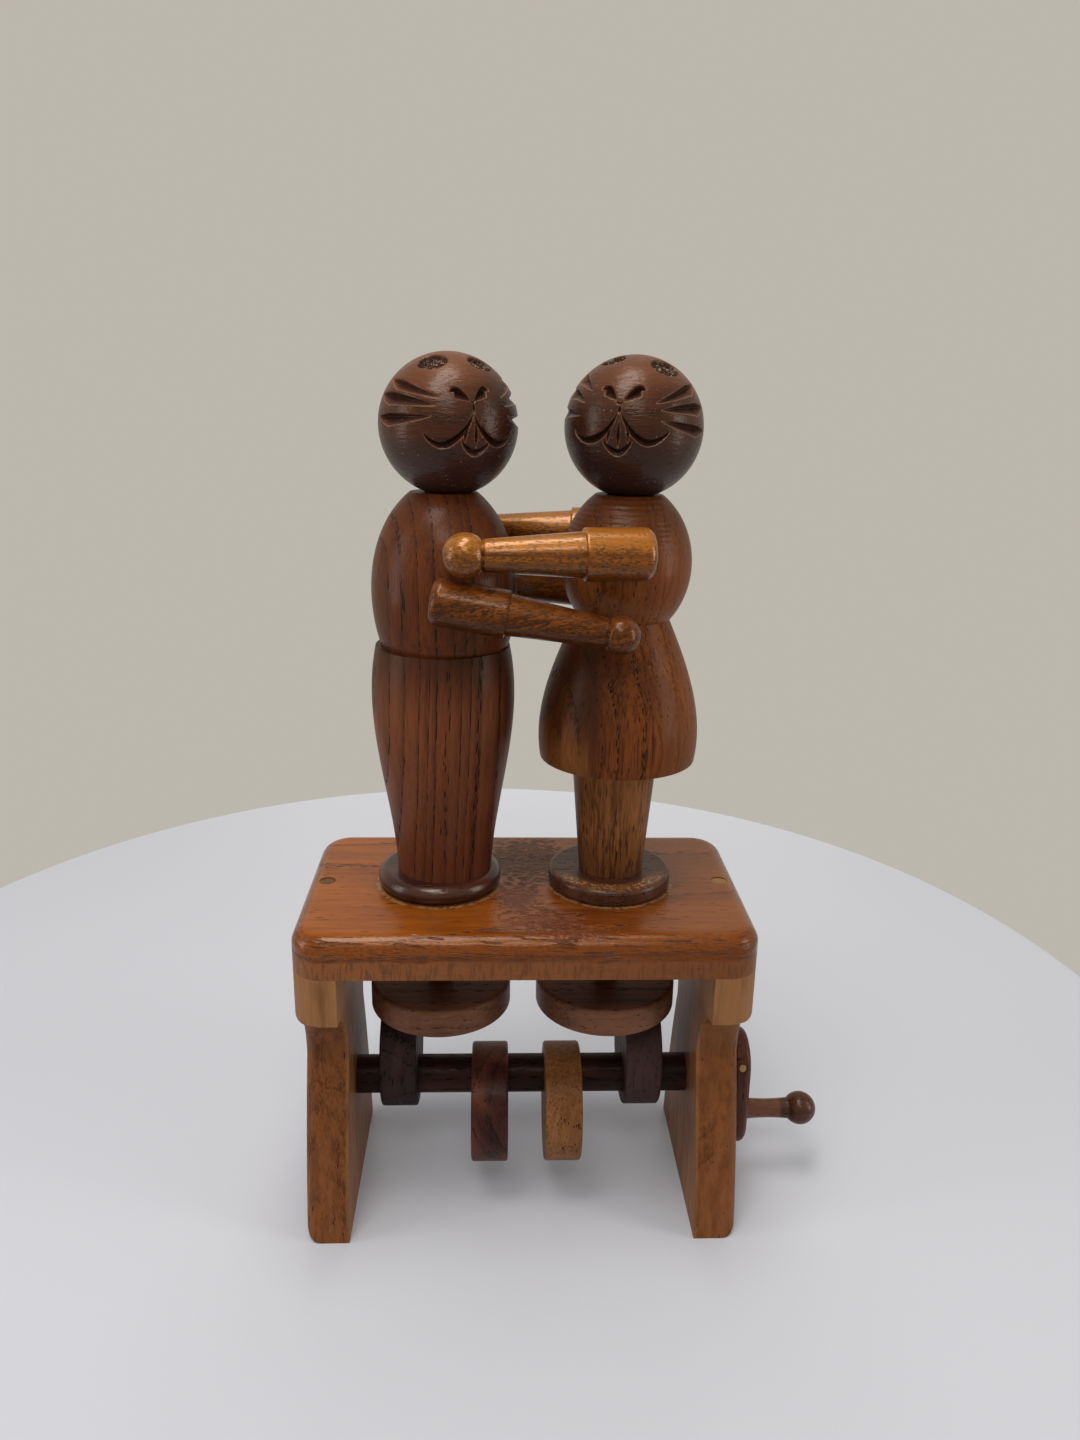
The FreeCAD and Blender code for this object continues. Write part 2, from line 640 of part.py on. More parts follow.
def build_right_figure():
    axis = FIGURE_X
    x = axis + RIGHT_TORSO_OFFSET
    legs = make_legs()
    torso = make_torso(x, SKIRT_WAIST[0], SKIRT_WAIST[1], RIGHT_CHEST)
    arms, shoulder_peg = make_arms(
        torso, -1, RIGHT_ARM, x - RIGHT_PEG_AHEAD, RIGHT_ARM_DROP, RIGHT_ARM_SLOPE,
        RIGHT_ARM_TOE_OUT,
    )
    head = head_ball(axis + RIGHT_HEAD_OFFSET)
    return {
        "right_spindle": make_spindle(axis),
        "right_follower_disc": make_follower(axis),
        "right_foot": make_flat_foot(),
        "right_legs": legs,
        "right_skirt": make_skirt(legs, torso),
        "right_torso": torso.cut([head, neck_peg(x), shoulder_peg]),
        "right_shoulder_peg": shoulder_peg,
        "right_near_arm": arms[0],
        "right_far_arm": arms[1],
        "right_neck_peg": neck_peg(x),
        "right_head": head.cut(neck_peg(x)),
    }


def main():
    os.makedirs("parts", exist_ok=True)
    # The origin is on the ground, under the middle of the object's overall box
    middle_x = (CRANK_REACH_X - DECK_LENGTH / 2) / 2
    for group in (build_frame(), build_crank(), build_left_figure(), build_right_figure()):
        for name, shape in group.items():
            shape = moved(shape.copy(), x=-middle_x)
            box = shape.BoundBox
            print(
                f"{name}: solids {len(shape.Solids)}, valid {shape.isValid()}, "
                f"x {box.XMin:.2f} {box.XMax:.2f}, y {box.YMin:.2f} {box.YMax:.2f}, "
                f"z {box.ZMin:.2f} {box.ZMax:.2f}"
            )
            shape.exportStep(f"parts/{name}.step")


main()
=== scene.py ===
# %% [markdown]
# # A wooden crank toy, dressed in Blender
# The toy is a small table with a camshaft under it. Two turned figures with carved animal
# faces stand on the table, arm in arm, and rise and turn when the crank goes round.
# Every solid already exists as CAD, so this lesson adds what CAD leaves out: the wood, the
# lacquer, the chisel cuts of the faces, the light and the camera.

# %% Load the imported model
import math

import bmesh
import bpy
import numpy as np
from mathutils import Matrix, Vector, noise


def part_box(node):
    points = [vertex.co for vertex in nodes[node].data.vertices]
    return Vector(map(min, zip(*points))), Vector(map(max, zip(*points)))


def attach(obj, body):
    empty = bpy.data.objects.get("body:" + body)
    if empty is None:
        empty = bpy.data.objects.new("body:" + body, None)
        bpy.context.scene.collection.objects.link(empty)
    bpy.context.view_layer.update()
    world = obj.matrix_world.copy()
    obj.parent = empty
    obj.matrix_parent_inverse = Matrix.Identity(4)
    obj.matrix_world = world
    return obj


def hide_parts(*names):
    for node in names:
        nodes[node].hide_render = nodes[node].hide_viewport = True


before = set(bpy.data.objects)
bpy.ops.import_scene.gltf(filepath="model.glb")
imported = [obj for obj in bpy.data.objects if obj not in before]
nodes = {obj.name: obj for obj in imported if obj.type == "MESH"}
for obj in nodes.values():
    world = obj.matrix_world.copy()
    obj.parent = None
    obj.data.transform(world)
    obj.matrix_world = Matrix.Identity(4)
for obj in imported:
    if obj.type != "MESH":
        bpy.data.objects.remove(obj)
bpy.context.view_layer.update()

print("pieces in the frame:", len(nodes))

# %% [markdown]
# ## Units
# Blender works in metres and a woodworker in millimetres. One name for a millimetre keeps
# every size below readable, and makes each pattern as large as it is on real wood.

# %% One millimetre
MM = 0.001


def metres(values):
    """A row of (x, y, z) in millimetres, as a Blender vector in metres."""
    return Vector(values) * MM


# %% Put things in the scene


def placed(name, data):
    """An object made of a mesh, a lamp or a camera, in the scene."""
    made = bpy.data.objects.new(name, data)
    bpy.context.collection.objects.link(made)
    return made


def mesh_of(shape, name):
    """A mesh made of an edited shape, which is then freed."""
    mesh = bpy.data.meshes.new(name)
    shape.to_mesh(mesh)
    shape.free()
    return mesh


# %% [markdown]
# ## The camera
# The view comes from a little above the heads, so the tops of the feet and of the table show.
# A camera can be aimed with a target, but its small roll would get lost. It is written as
# three angles instead: the turn to the side, the dip, and the roll.

# %% Place the camera
CAMERA_AT = metres((-20.38, -252.2, 208.35))
CAMERA_TURN = 0.0415     # radians to the right
CAMERA_DIP = 0.2962      # radians below level
CAMERA_ROLL = 0.0175     # radians
LENS_PIXELS = 1081.0     # focal length, for an image 1440 pixels high
IMAGE_HEIGHT = 1440.0

ahead = Vector((
    math.sin(CAMERA_TURN) * math.cos(CAMERA_DIP),
    math.cos(CAMERA_TURN) * math.cos(CAMERA_DIP),
    -math.sin(CAMERA_DIP),
))
level_right = Vector((math.cos(CAMERA_TURN), -math.sin(CAMERA_TURN), 0.0))
level_up = level_right.cross(ahead)
right = level_right * math.cos(CAMERA_ROLL) + level_up * math.sin(CAMERA_ROLL)
up = level_up * math.cos(CAMERA_ROLL) - level_right * math.sin(CAMERA_ROLL)

lens = bpy.data.cameras.new("camera")
lens.sensor_fit = "VERTICAL"
lens.sensor_height = 36.0
lens.lens = lens.sensor_height * LENS_PIXELS / IMAGE_HEIGHT
lens.clip_start = 0.005
camera = placed("camera", lens)
turn = Matrix((right, up, -ahead)).transposed().to_4x4()
camera.matrix_world = Matrix.Translation(CAMERA_AT) @ turn
bpy.context.scene.camera = camera
print(f"lens {lens.lens:.2f} mm on a 36 mm high sensor")

# %% [markdown]
# ## Nodes and colours
# A material is a small tree of nodes, and so is a geometry recipe. One helper adds a node to
# either, sets what it is told and links what it is given. A few shorter ones, all built on it,
# do sums, blend colours and make noise. Colours are written as the hex values that a paint
# chart would show, and one function turns them to linear light.

# %% Add a node, read a colour


def add(tree, kind, settings=None, inputs=None):
    """Adds one node, applies its settings, and fills or links its inputs."""
    node = tree.nodes.new(kind)
    for name, value in (settings or {}).items():
        setattr(node, name, value)
    for name, value in (inputs or {}).items():
        if isinstance(value, bpy.types.NodeSocket):
            tree.links.new(value, node.inputs[name])
        else:
            node.inputs[name].default_value = value
    return node


def colour(hex_value):
    """An sRGB hex colour, as linear red, green, blue and opacity."""
    parts = [int(hex_value[i:i + 2], 16) / 255 for i in (1, 3, 5)]
    linear = [p / 12.92 if p <= 0.04045 else ((p + 0.055) / 1.055) ** 2.4 for p in parts]
    return (*linear, 1.0)


# %% Sums, blends and noise


def tree_of(values):
    """The tree that the first value from a node belongs to."""
    return next(v.id_data for v in values if isinstance(v, bpy.types.NodeSocket))


def number(operation, *values, clamp=False):
    """One sum on numbers, each either plain or from a node."""
    return add(tree_of(values), "ShaderNodeMath", {"operation": operation, "use_clamp": clamp},
               dict(enumerate(values))).outputs[0]


def vector(operation, *values):
    """One sum on vectors. The length of a vector is a number."""
    outputs = add(tree_of(values), "ShaderNodeVectorMath", {"operation": operation},
                  dict(enumerate(values))).outputs
    return outputs["Value" if operation == "LENGTH" else "Vector"]


def blend(share, first, second):
    """The first colour where share is 0, the second where it is 1."""
    return add(share.id_data, "ShaderNodeMix", {"data_type": "RGBA"},
               {0: share, 6: first, 7: second}).outputs[2]


def spread(value, low, high, to_low=0.0, to_high=1.0, curve="LINEAR"):
    """Stretches the range from low to high so that it fills another range."""
    return add(value.id_data, "ShaderNodeMapRange", {"interpolation_type": curve},
               {"Value": value, "From Min": low, "From Max": high,
                "To Min": to_low, "To Max": to_high}).outputs[0]


def noise_at(where, detail=1.0, roughness=0.5, output="Fac"):
    """A soft noise, about one blotch to a unit."""
    return add(where.id_data, "ShaderNodeTexNoise", None,
               {"Vector": where, "Scale": 1.0, "Detail": detail,
                "Roughness": roughness}).outputs[output]


# %% [markdown]
# ## Wood
# Turned and sawn wood shows four things. The yearly rings make broad light and dark bands
# where the surface cuts them. Along the start of each ring runs a row of large open pores,
# cut lengthwise, so they look like short dark dashes in broken lines. Fine fibres run along
# the grain. And the whole board drifts in colour.
# An image could show all that on a flat board, but not where a lathe cuts into it. So the
# pattern is built in the log itself: millimetres, turned so that the grain is the log's
# third axis, with the pith, the tree's centre, off to one side. Whatever shape is cut from
# it shows the figure that this cut would have.

# %% One log, from which every piece is cut
GRAIN_TURN = {
    "X": (0.0, -math.pi / 2, 0.0),
    "Z": (0.0, 0.0, 0.0),
}


def wood(name, early, late, pore, grain="Z", pith=(40.0, 40.0), lean=(0.0, 0.0),
         ring=2.6, ring_strength=0.55, late_sharpness=2.5, sway=1.6, pore_size=(0.4, 2.4),
         loose_pores=0.05, row_pores=0.9, row_width=0.4, row_line=0.0, drift="#5A3018",
         drift_strength=0.3, streaks=0.5, rough=0.38, gloss=0.13, shine="#FFE0B8",
         coat=0.08, coat_rough=0.14, depth=0.05):
    """A wood finish. Sizes are in millimetres, and pith is where the log's centre stands,
    across the grain, from the origin. lean tilts the log, in degrees."""
    material = bpy.data.materials.new(name)
    material.use_nodes = True
    tree = material.node_tree
    tree.nodes.clear()

    place = add(tree, "ShaderNodeTexCoord").outputs["Object"]
    turned = [a + math.radians(b) for a, b in zip(GRAIN_TURN[grain], (*lean, 0.0))]
    log = add(tree, "ShaderNodeMapping", inputs={
        "Vector": place, "Scale": (1 / MM,) * 3, "Rotation": turned,
        "Location": (-pith[0], -pith[1], 0.0)}).outputs[0]

    def cut_up(across, along):
        """The log in units of so many millimetres across and along its grain."""
        return vector("MULTIPLY", log, (1 / across, 1 / across, 1 / along))

    # The log isn't round: its rings sway slowly
    swing = noise_at(cut_up(14, 60), 2.0, output="Color")
    swayed = vector("MULTIPLY_ADD", swing, (2 * sway, 2 * sway, 0.0), log)
    radius = vector("LENGTH", vector("MULTIPLY", swayed, (1.0, 1.0, 0.0)))
    even = number("DIVIDE", radius, ring)
    weather = add(tree, "ShaderNodeTexNoise", {"noise_dimensions": "1D"},
                  {"W": even, "Scale": 0.6, "Detail": 1.0}).outputs[0]
    season = number("FRACT", number("MULTIPLY_ADD", weather, 1.6, even))
    late_wood = number("POWER", season, late_sharpness)
    row = spread(season, row_width / ring, 0.4 * row_width / ring, curve="SMOOTHSTEP")

    # Pores: long cells in the log, of which only some are open. Their rows come and go
    fits = spread(noise_at(cut_up(2.2, 17.0)), 0.35, 0.55, 0.45, 1.1)
    fitful_row = number("MULTIPLY", row, fits)
    cell = add(tree, "ShaderNodeTexVoronoi", None,
               {"Vector": cut_up(*pore_size), "Scale": 1.0}).outputs
    dash = spread(cell["Distance"], 0.62, 0.38, curve="SMOOTHSTEP")
    chance = add(tree, "ShaderNodeSeparateColor", None, {"Color": cell["Color"]}).outputs["Red"]
    share = number("MULTIPLY_ADD", fitful_row, row_pores, loose_pores)
    open_pore = number("MULTIPLY", dash, number("LESS_THAN", chance, share))

    # Fibres, a third of a millimetre wide so that they show, and broader strands of them
    fibre = noise_at(cut_up(0.34, 7.0), 3.0, 0.6)
    strand = noise_at(cut_up(1.2, 40.0))
    lined = number("ADD", spread(fibre, 0.36, 0.64, -0.5 * streaks, streaks),
                   spread(strand, 0.35, 0.65, -0.4 * streaks, 0.6 * streaks))
    ringed = number("MULTIPLY", late_wood, ring_strength)
    shade = number("ADD", ringed, lined, clamp=True)
    body = blend(shade, colour(early), colour(late))

    # The board's colour drifts, and the pores are darkest of all
    cloud = noise_at(cut_up(9, 28), 1.5)
    drifted = spread(cloud, 0.42, 0.66, 0.0, drift_strength, curve="SMOOTHSTEP")
    clouded = blend(drifted, body, colour(drift))
    pored = number("MULTIPLY", open_pore, number("MULTIPLY_ADD", row, 0.2, 0.8))
    thin_line = number("MULTIPLY", fitful_row, row_line)
    surface = blend(number("MAXIMUM", pored, thin_line), clouded, colour(pore))

    dull = number("MULTIPLY_ADD", open_pore, 0.3, rough)
    uneven = number("MULTIPLY_ADD", fibre, 0.16, dull)
    relief = number("MULTIPLY_ADD", open_pore, -1.0, fibre)
    bump = add(tree, "ShaderNodeBump", None,
               {"Height": relief, "Strength": 1.0, "Distance": depth * MM})
    shader = add(tree, "ShaderNodeBsdfPrincipled", None,
                 {"Base Color": surface, "Roughness": uneven, "Normal": bump.outputs[0],
                  "IOR": 1.5, "Specular IOR Level": gloss, "Specular Tint": colour(shine),
                  "Coat Weight": coat, "Coat Roughness": coat_rough,
                  "Coat Normal": bump.outputs[0]})
    add(tree, "ShaderNodeOutputMaterial", None, {"Surface": shader.outputs[0]})
    return {"material": material, "tree": tree, "place": place, "colour": surface,
            "rough": uneven, "relief": relief, "bump": bump, "shader": shader}


def dress(finish, *names):
    """Gives CAD pieces a finish, in every slot that they have."""
    for name in names:
        slots = nodes[name].data.materials
        if not len(slots):
            slots.append(finish["material"])
        for i in range(len(slots)):
            slots[i] = finish["material"]


# %% [markdown]
# ## The table and its side panels
# The top is an orange-brown board, lacquered, with its grain along the table. The side
# panels are golden brown with upright grain. The lower half of the board's edge was never
# sanded as far as the upper half: it is paler and cross-hatched by the saw.

# %% Finish the table
deck_wood = wood("teak, satin lacquer, table top", "#985010", "#642C09", "#2A1108", grain="X",
                 pith=(60.0, -25.0), lean=(0.0, 1.2), ring=5.2, ring_strength=0.7,
                 late_sharpness=6.0, sway=1.7, pore_size=(0.36, 2.6), loose_pores=0.03,
                 row_width=0.5, drift="#763A0C", drift_strength=0.5, streaks=0.4, rough=0.18,
                 gloss=0.3, shine="#FFC890", coat=0.3, coat_rough=0.08)
panel_wood = wood("teak, satin lacquer, side panels", "#764626", "#4A2916", "#241108",
                  pith=(-20.0, 240.0), lean=(0.4, 0.3), ring=1.9, ring_strength=0.4, sway=0.6,
                  pore_size=(0.34, 3.4), loose_pores=0.0, row_pores=0.06, row_width=0.35,
                  drift="#85532F", drift_strength=0.5, streaks=0.6, rough=0.42, coat=0.05)
dowel_wood = wood("beech dowel, lacquered", "#A98256", "#8C6740", "#4A3018", pith=(-10.0, 20.0),
                  ring=1.4, ring_strength=0.3, pore_size=(0.25, 0.6), loose_pores=0.15,
                  row_pores=0.1)
dress(deck_wood, "deck")
dress(panel_wood, "left_side_panel", "right_side_panel")
dress(dowel_wood, "deck_pegs", "crank_pin", "left_shoulder_peg", "right_shoulder_peg",
      "left_neck_peg", "right_neck_peg")

# %% [markdown]
# ## Masks
# A stain, a worn edge, a row of pits, a painted highlight or a painted shade is a mask: a number
# that is 1 where the mark is and 0 where it isn't, worked out from where a point lies on its
# piece, in millimetres. So a mark stays in its place when the piece moves. Masks multiply, and a
# finish takes them one after another: the stains and wear as the real piece got them, and the
# painted light and shade laid over them.

# %% Make masks


def at_mm(finish, scale=(1.0, 1.0, 1.0), move=(0.0, 0.0, 0.0)):
    """A place in millimetres, moved and then stretched."""
    moved = vector("MULTIPLY_ADD", finish["place"], (1 / MM,) * 3, tuple(-m for m in move))
    return vector("MULTIPLY", moved, scale)


def coordinate(finish, axis):
    """How far along one axis a place lies, in millimetres."""
    return add(finish["tree"], "ShaderNodeSeparateXYZ", None, {0: at_mm(finish)}).outputs[axis]


def from_upright(finish, middle, unit=(1.0, 1.0)):
    """How far a place is from an upright line, in units of so many millimetres."""
    return vector("LENGTH", at_mm(finish, (1 / unit[0], 1 / unit[1], 0.0), (*middle, 0.0)))


def cloudy(finish, scale, detail=2.0):
    """A soft noise, with so many blotches to a millimetre along each axis."""
    return noise_at(at_mm(finish, scale), detail)


def speckled(finish, scale):
    """How far a place is from the nearest of many scattered specks."""
    return add(finish["tree"], "ShaderNodeTexVoronoi", None,
               {"Vector": at_mm(finish, scale), "Scale": 1.0}).outputs["Distance"]


def plus(a, share, b):
    """a times a number, plus b."""
    return number("MULTIPLY_ADD", a, share, b)


def off(value, middle):
    """How far a value is from a middle one, to either side."""
    return number("ABSOLUTE", plus(value, 1.0, -middle))


def fade(value, full, none):
    """1 where a value is past full, 0 where it is past none, and smooth in between."""
    return spread(value, none, full, curve="SMOOTHSTEP")


def both(first, *others):
    """The part that all masks share."""
    for other in others:
        first = number("MULTIPLY", first, other)
    return first


# %% Paint over and roughen


# Lays real stains and wear, and also painted light and shade
def paint_over(finish, paint, strength, *masks):
    """Blends a finish with another colour where all masks are 1."""
    tree = finish["tree"]
    much = number("MULTIPLY", both(*masks), strength, clamp=True)
    stained = blend(much, finish["colour"], colour(paint))
    tree.links.new(stained, finish["shader"].inputs["Base Color"])
    finish["colour"] = stained


def roughen(finish, mask, height, dullness):
    """Adds a mask to a finish's relief and to its roughness."""
    tree = finish["tree"]
    raised = plus(mask, height, finish["relief"])
    tree.links.new(raised, finish["bump"].inputs["Height"])
    finish["relief"] = raised
    dull = plus(mask, dullness, finish["rough"])
    tree.links.new(dull, finish["shader"].inputs["Roughness"])
    finish["rough"] = dull


# %% [markdown]
# ## Marks of use on the table top
# The sawn lower half of the edge is a paler band with an uneven upper limit, hatched by the
# saw. Long open pores run along the rounded front edge and catch dirt. Round each foot runs a
# thin pale line of rubbed lacquer and glue, and between the feet lies a dark patch, where the
# wood was torn across its grain and drank the stain.

# %% Mark the edge of the table top
LEFT_AXIS = -34.65
RIGHT_AXIS = 8.35
DECK_TOP = 88.4
SAWN_TO = 82.6
SAW_LINE = SAWN_TO + 2.9     # where the wavy limit of the sawn band runs

height = coordinate(deck_wood, "Z")
to_right = coordinate(deck_wood, "X")
wave = cloudy(deck_wood, (1 / 16, 1 / 16, 0.0), 4.0)
wavy = plus(wave, 5.0, height)
sawn = fade(wavy, SAWN_TO + 2.2, SAWN_TO + 3.0)
hatch = cloudy(deck_wood, (1 / 0.55, 1 / 0.55, 1 / 3.5), 3.0)
paint_over(deck_wood, "#7A4E30", 0.7, sawn)
paint_over(deck_wood, "#3C2114", 0.5, fade(hatch, 0.64, 0.48), sawn)
worn = cloudy(deck_wood, (1 / 7, 1 / 7, 0.0), 3.0)
paint_over(deck_wood, "#33180C", 0.7, fade(off(wavy, SAW_LINE), 0.15, 0.7), fade(worn, 0.6, 0.45))

# Long pores on the rounded edge: thin, nearly level, and broken up
fall = plus(to_right, 0.035, height)
slits = noise_at(add(deck_wood["tree"], "ShaderNodeCombineXYZ", None, {
    "X": both(to_right, 1 / 9), "Z": both(fall, 1 / 0.55)}).outputs[0], 2.0)
on_edge = both(fade(height, DECK_TOP - 0.5, DECK_TOP - 0.1),
               fade(height, SAWN_TO + 0.5, SAWN_TO - 0.5))
slit = both(fade(slits, 0.66, 0.58), on_edge)
paint_over(deck_wood, "#241008", 0.85, slit)
fine = cloudy(deck_wood, (1 / 1.1, 1 / 1.1, 1 / 0.35))
paint_over(deck_wood, "#4C230C", 0.65, fade(fine, 0.6, 0.52), on_edge)

# The board is darker towards the right
rightward = plus(wave, 30.0, to_right)
paint_over(deck_wood, "#5E3114", 0.28, fade(rightward, 40.0, 0.0))
paint_over(deck_wood, "#582C12", 0.24, fade(rightward, -5.0, -42.0))
paint_over(deck_wood, "#552710", 0.4, on_edge)
roughen(deck_wood, slit, -5.0, 0.2)
roughen(deck_wood, sawn, 0.0, 0.35)

# %% Mark the top round the feet
for axis in (LEFT_AXIS, RIGHT_AXIS):
    out = from_upright(deck_wood, (axis, 0.0))
    grime = cloudy(deck_wood, (0.9, 0.9, 0.9), 4.0)
    ragged = plus(grime, 1.6, out)
    # Painted shade: a darker ring round the base of each foot
    paint_over(deck_wood, "#4A2814", 0.45, fade(out, 15.0, 17.6))
    paint_over(deck_wood, "#A88C62", 0.42, fade(ragged, 16.6, 17.0), fade(out, 15.2, 14.4),
          fade(grime, 0.48, 0.6))

# %% Tear the wood between the feet
# each patch: its middle, half its width and depth, its colour and how strong it is
TORN = (((-12.0, 13.0), (11.0, 16.0), "#34180D", 0.85),
        ((-15.0, -10.0), (6.0, 11.0), "#4F2618", 0.85),
        ((-9.0, -22.0), (9.0, 5.0), "#5A2A18", 0.7),
        ((-1.0, -27.0), (9.0, 3.0), "#5A2A18", 0.6))

on_top = fade(height, DECK_TOP - 0.3, DECK_TOP - 2.5)
crumbs = cloudy(deck_wood, (1 / 1.7, 1 / 1.2, 1.0), 5.0)
flecks = cloudy(deck_wood, (1 / 0.55, 1 / 0.6, 1.0))
for middle, half_size, paint, strength in TORN:
    away = from_upright(deck_wood, middle, half_size)
    patch = both(fade(plus(crumbs, 2.2, away), 1.7, 2.3), on_top)
    paint_over(deck_wood, paint, strength, patch)
    paint_over(deck_wood, "#94583C", 0.4, patch, fade(flecks, 0.66, 0.54))
    roughen(deck_wood, both(patch, fade(crumbs, 0.4, 0.6)), -1.6, 0.0)
    roughen(deck_wood, patch, 0.0, 0.3)

# %% [markdown]
# ## Marks on the dowels and the panels
# The left dowel's end grain drank more of the stain. The panels' shoulders are painted paler than
# the legs, a painted light from above, and their inner faces are painted paler too, also painted
# light.

# %% Stain the left dowel and the panels, and paint light onto the panels' shoulders and inner faces
PLUG_INNER_SIDE = -60.2
SHOULDER_FROM, SHOULDER_ALL = 62.0, 66.5
DECK_MIDDLE = -13.15
INNER_FACE = 44.3     # from the deck's middle

paint_over(dowel_wood, "#3E2412", 0.75,
      fade(coordinate(dowel_wood, "X"), PLUG_INNER_SIDE - 0.6, PLUG_INNER_SIDE))
# Painted light: the top of each panel, its shoulder, is paler
paint_over(panel_wood, "#B08256", 0.42, fade(coordinate(panel_wood, "Z"), SHOULDER_ALL, SHOULDER_FROM))
from_middle = off(coordinate(panel_wood, "X"), DECK_MIDDLE)
# Painted light: the panels' inner faces are paler
paint_over(panel_wood, "#A87B50", 0.25, fade(from_middle, INNER_FACE, INNER_FACE + 0.9))
streaky = cloudy(panel_wood, (1 / 3, 1 / 3, 1 / 26), 3.0)
paint_over(panel_wood, "#4A2812", 0.4, fade(streaky, 0.68, 0.46))

# %% [markdown]
# ## The camshaft, the crank and the discs
# The maker used up offcuts under the table: nearly black shaft and outer cams, one cam of
# reddish wood and one of pale, open-pored wood.

# %% Finish the camshaft
dark_wood = wood("stained hardwood, unpolished", "#2D2022", "#1E1518", "#0C0706",
                 pith=(-35.0, 45.0), ring=2.2, ring_strength=0.5, drift="#4E3734",
                 drift_strength=0.4, rough=0.5, coat=0.0)
red_wood = wood("rosewood, satin", "#3A1C18", "#1C0D0D", "#0E0706", pith=(-62.0, 25.0),
                lean=(0.0, 24.0), ring=4.4, ring_strength=0.9, late_sharpness=1.6,
                loose_pores=0.02, drift="#743F32", drift_strength=0.5, rough=0.42)
pale_wood = wood("open-pored hardwood, satin", "#865934", "#623F22", "#2A180B", pith=(30.0, 160.0),
                 lean=(0.0, -6.0), ring_strength=0.4, pore_size=(0.34, 1.1), loose_pores=0.1,
                 row_pores=0.3, drift="#613A1F", drift_strength=0.6, streaks=0.6, rough=0.42,
                 coat=0.05)
crank_wood = wood("rosewood, satin lacquer, crank", "#4C2A20", "#2C1611", "#120807",
                  pith=(20.0, 40.0), ring=2.2, ring_strength=0.5, loose_pores=0.02,
                  drift="#5A3228", drift_strength=0.4, rough=0.36, coat=0.15)
handle_wood = wood("rosewood, satin lacquer, handle", "#5E3522", "#371D13", "#140907", grain="X",
                   pith=(-60.0, 40.0), ring=2.0, ring_strength=0.5, loose_pores=0.02,
                   drift="#774A39", drift_strength=0.4, rough=0.32, coat=0.35)
shaft_wood = wood("stained dowel", "#220F0F", "#160909", "#080404", grain="X", pith=(10.0, 25.0),
                  ring=1.8, ring_strength=0.4, drift="#46241F", drift_strength=0.4, rough=0.45,
                  coat=0.05)
disc_wood = wood("dark hardwood, satin, follower discs", "#6B4532", "#41281E", "#140B07",
                 grain="X", pith=(-300.0, 120.0), ring=2.2, ring_strength=0.4, sway=0.8,
                 loose_pores=0.01, row_pores=0.3, drift="#8D6048", drift_strength=0.4, rough=0.4)
dress(dark_wood, "left_outer_cam", "right_outer_cam")
dress(red_wood, "left_inner_cam")
dress(pale_wood, "right_inner_cam")
dress(crank_wood, "crank_arm")
dress(handle_wood, "crank_handle")
dress(shaft_wood, "crank_shaft", "left_spindle", "right_spindle")
dress(disc_wood, "left_follower_disc", "right_follower_disc")

# %% A pale grip, a dark knob and a paler right outer cam
KNOB_FROM = 58.5

to_knob = coordinate(handle_wood, "X")
paint_over(handle_wood, "#8A6250", 0.2, fade(to_knob, KNOB_FROM - 1.0, KNOB_FROM))
paint_over(handle_wood, "#2A140D", 0.55, fade(to_knob, KNOB_FROM, KNOB_FROM - 1.0))
paint_over(dark_wood, "#5E4644", 0.25, fade(coordinate(dark_wood, "X"), 0.0, -26.0))

# %% [markdown]
# ## The figures' bodies
# Each body is turned from an upright billet, so its grain stands up. On the trousers the
# rings cross the surface edge-on at the middle and right, where their rows of pores lie close
# together, and flat-on at the left, where they are far apart and slant.

# %% Finish the bodies
trouser_wood = wood("red-brown teak, satin lacquer, trousers", "#713F27", "#432116", "#120604",
                    pith=(LEFT_AXIS - 70.0, -22.0), lean=(0.0, -1.6), ring=3.0, ring_strength=0.6,
                    late_sharpness=2.2, sway=0.8, pore_size=(0.42, 6.0), loose_pores=0.0,
                    row_width=0.5, row_line=0.5, drift="#4C240F", drift_strength=0.45,
                    streaks=0.28)
left_torso_wood = wood("red-brown teak, satin lacquer, left torso", "#602F16", "#38180B",
                       "#120603", pith=(LEFT_AXIS - 64.0, -24.0), lean=(0.0, 1.0), ring=3.4,
                       ring_strength=0.6, late_sharpness=2.2, sway=0.8, pore_size=(0.42, 4.0),
                       loose_pores=0.0, row_width=0.5, row_line=0.3, drift="#441F0E",
                       drift_strength=0.5, streaks=0.4, gloss=0.16, coat=0.14, coat_rough=0.1)
right_torso_wood = wood("red-brown teak, satin lacquer, right torso", "#80461A", "#50270F",
                        "#180A06", pith=(RIGHT_AXIS + 70.0, 10.0), lean=(0.0, -1.5), ring=3.2,
                        ring_strength=0.5, sway=0.8, loose_pores=0.015, row_pores=0.5,
                        drift="#67311B", drift_strength=0.5, gloss=0.16, coat=0.14, coat_rough=0.1)
skirt_wood = wood("brown teak, satin lacquer, skirt", "#733D1B", "#3F1B0D", "#140804",
                  pith=(RIGHT_AXIS + 66.0, 26.0), lean=(0.6, -1.0), ring=3.0, sway=0.9,
                  pore_size=(0.36, 1.8), loose_pores=0.03, row_pores=0.7, drift="#4D2413",
                  drift_strength=0.7, streaks=0.65)
leg_wood = wood("golden-brown teak, satin lacquer, legs", "#87562F", "#3C1E11", "#120804",
                pith=(RIGHT_AXIS - 90.0, 20.0), ring=1.9, sway=0.7, late_sharpness=1.4,
                pore_size=(0.36, 3.4), loose_pores=0.005, row_pores=0.35, drift="#9C6438",
                drift_strength=0.4)
foot_wood = wood("dark teak, gloss lacquer, left foot", "#321612", "#1C0A08", "#0E0504", grain="X",
                 pith=(-90.0, 140.0), ring_strength=0.6, loose_pores=0.04, row_pores=0.4,
                 drift="#5E3022", drift_strength=0.5, rough=0.26, gloss=0.24, coat=0.5,
                 coat_rough=0.09)
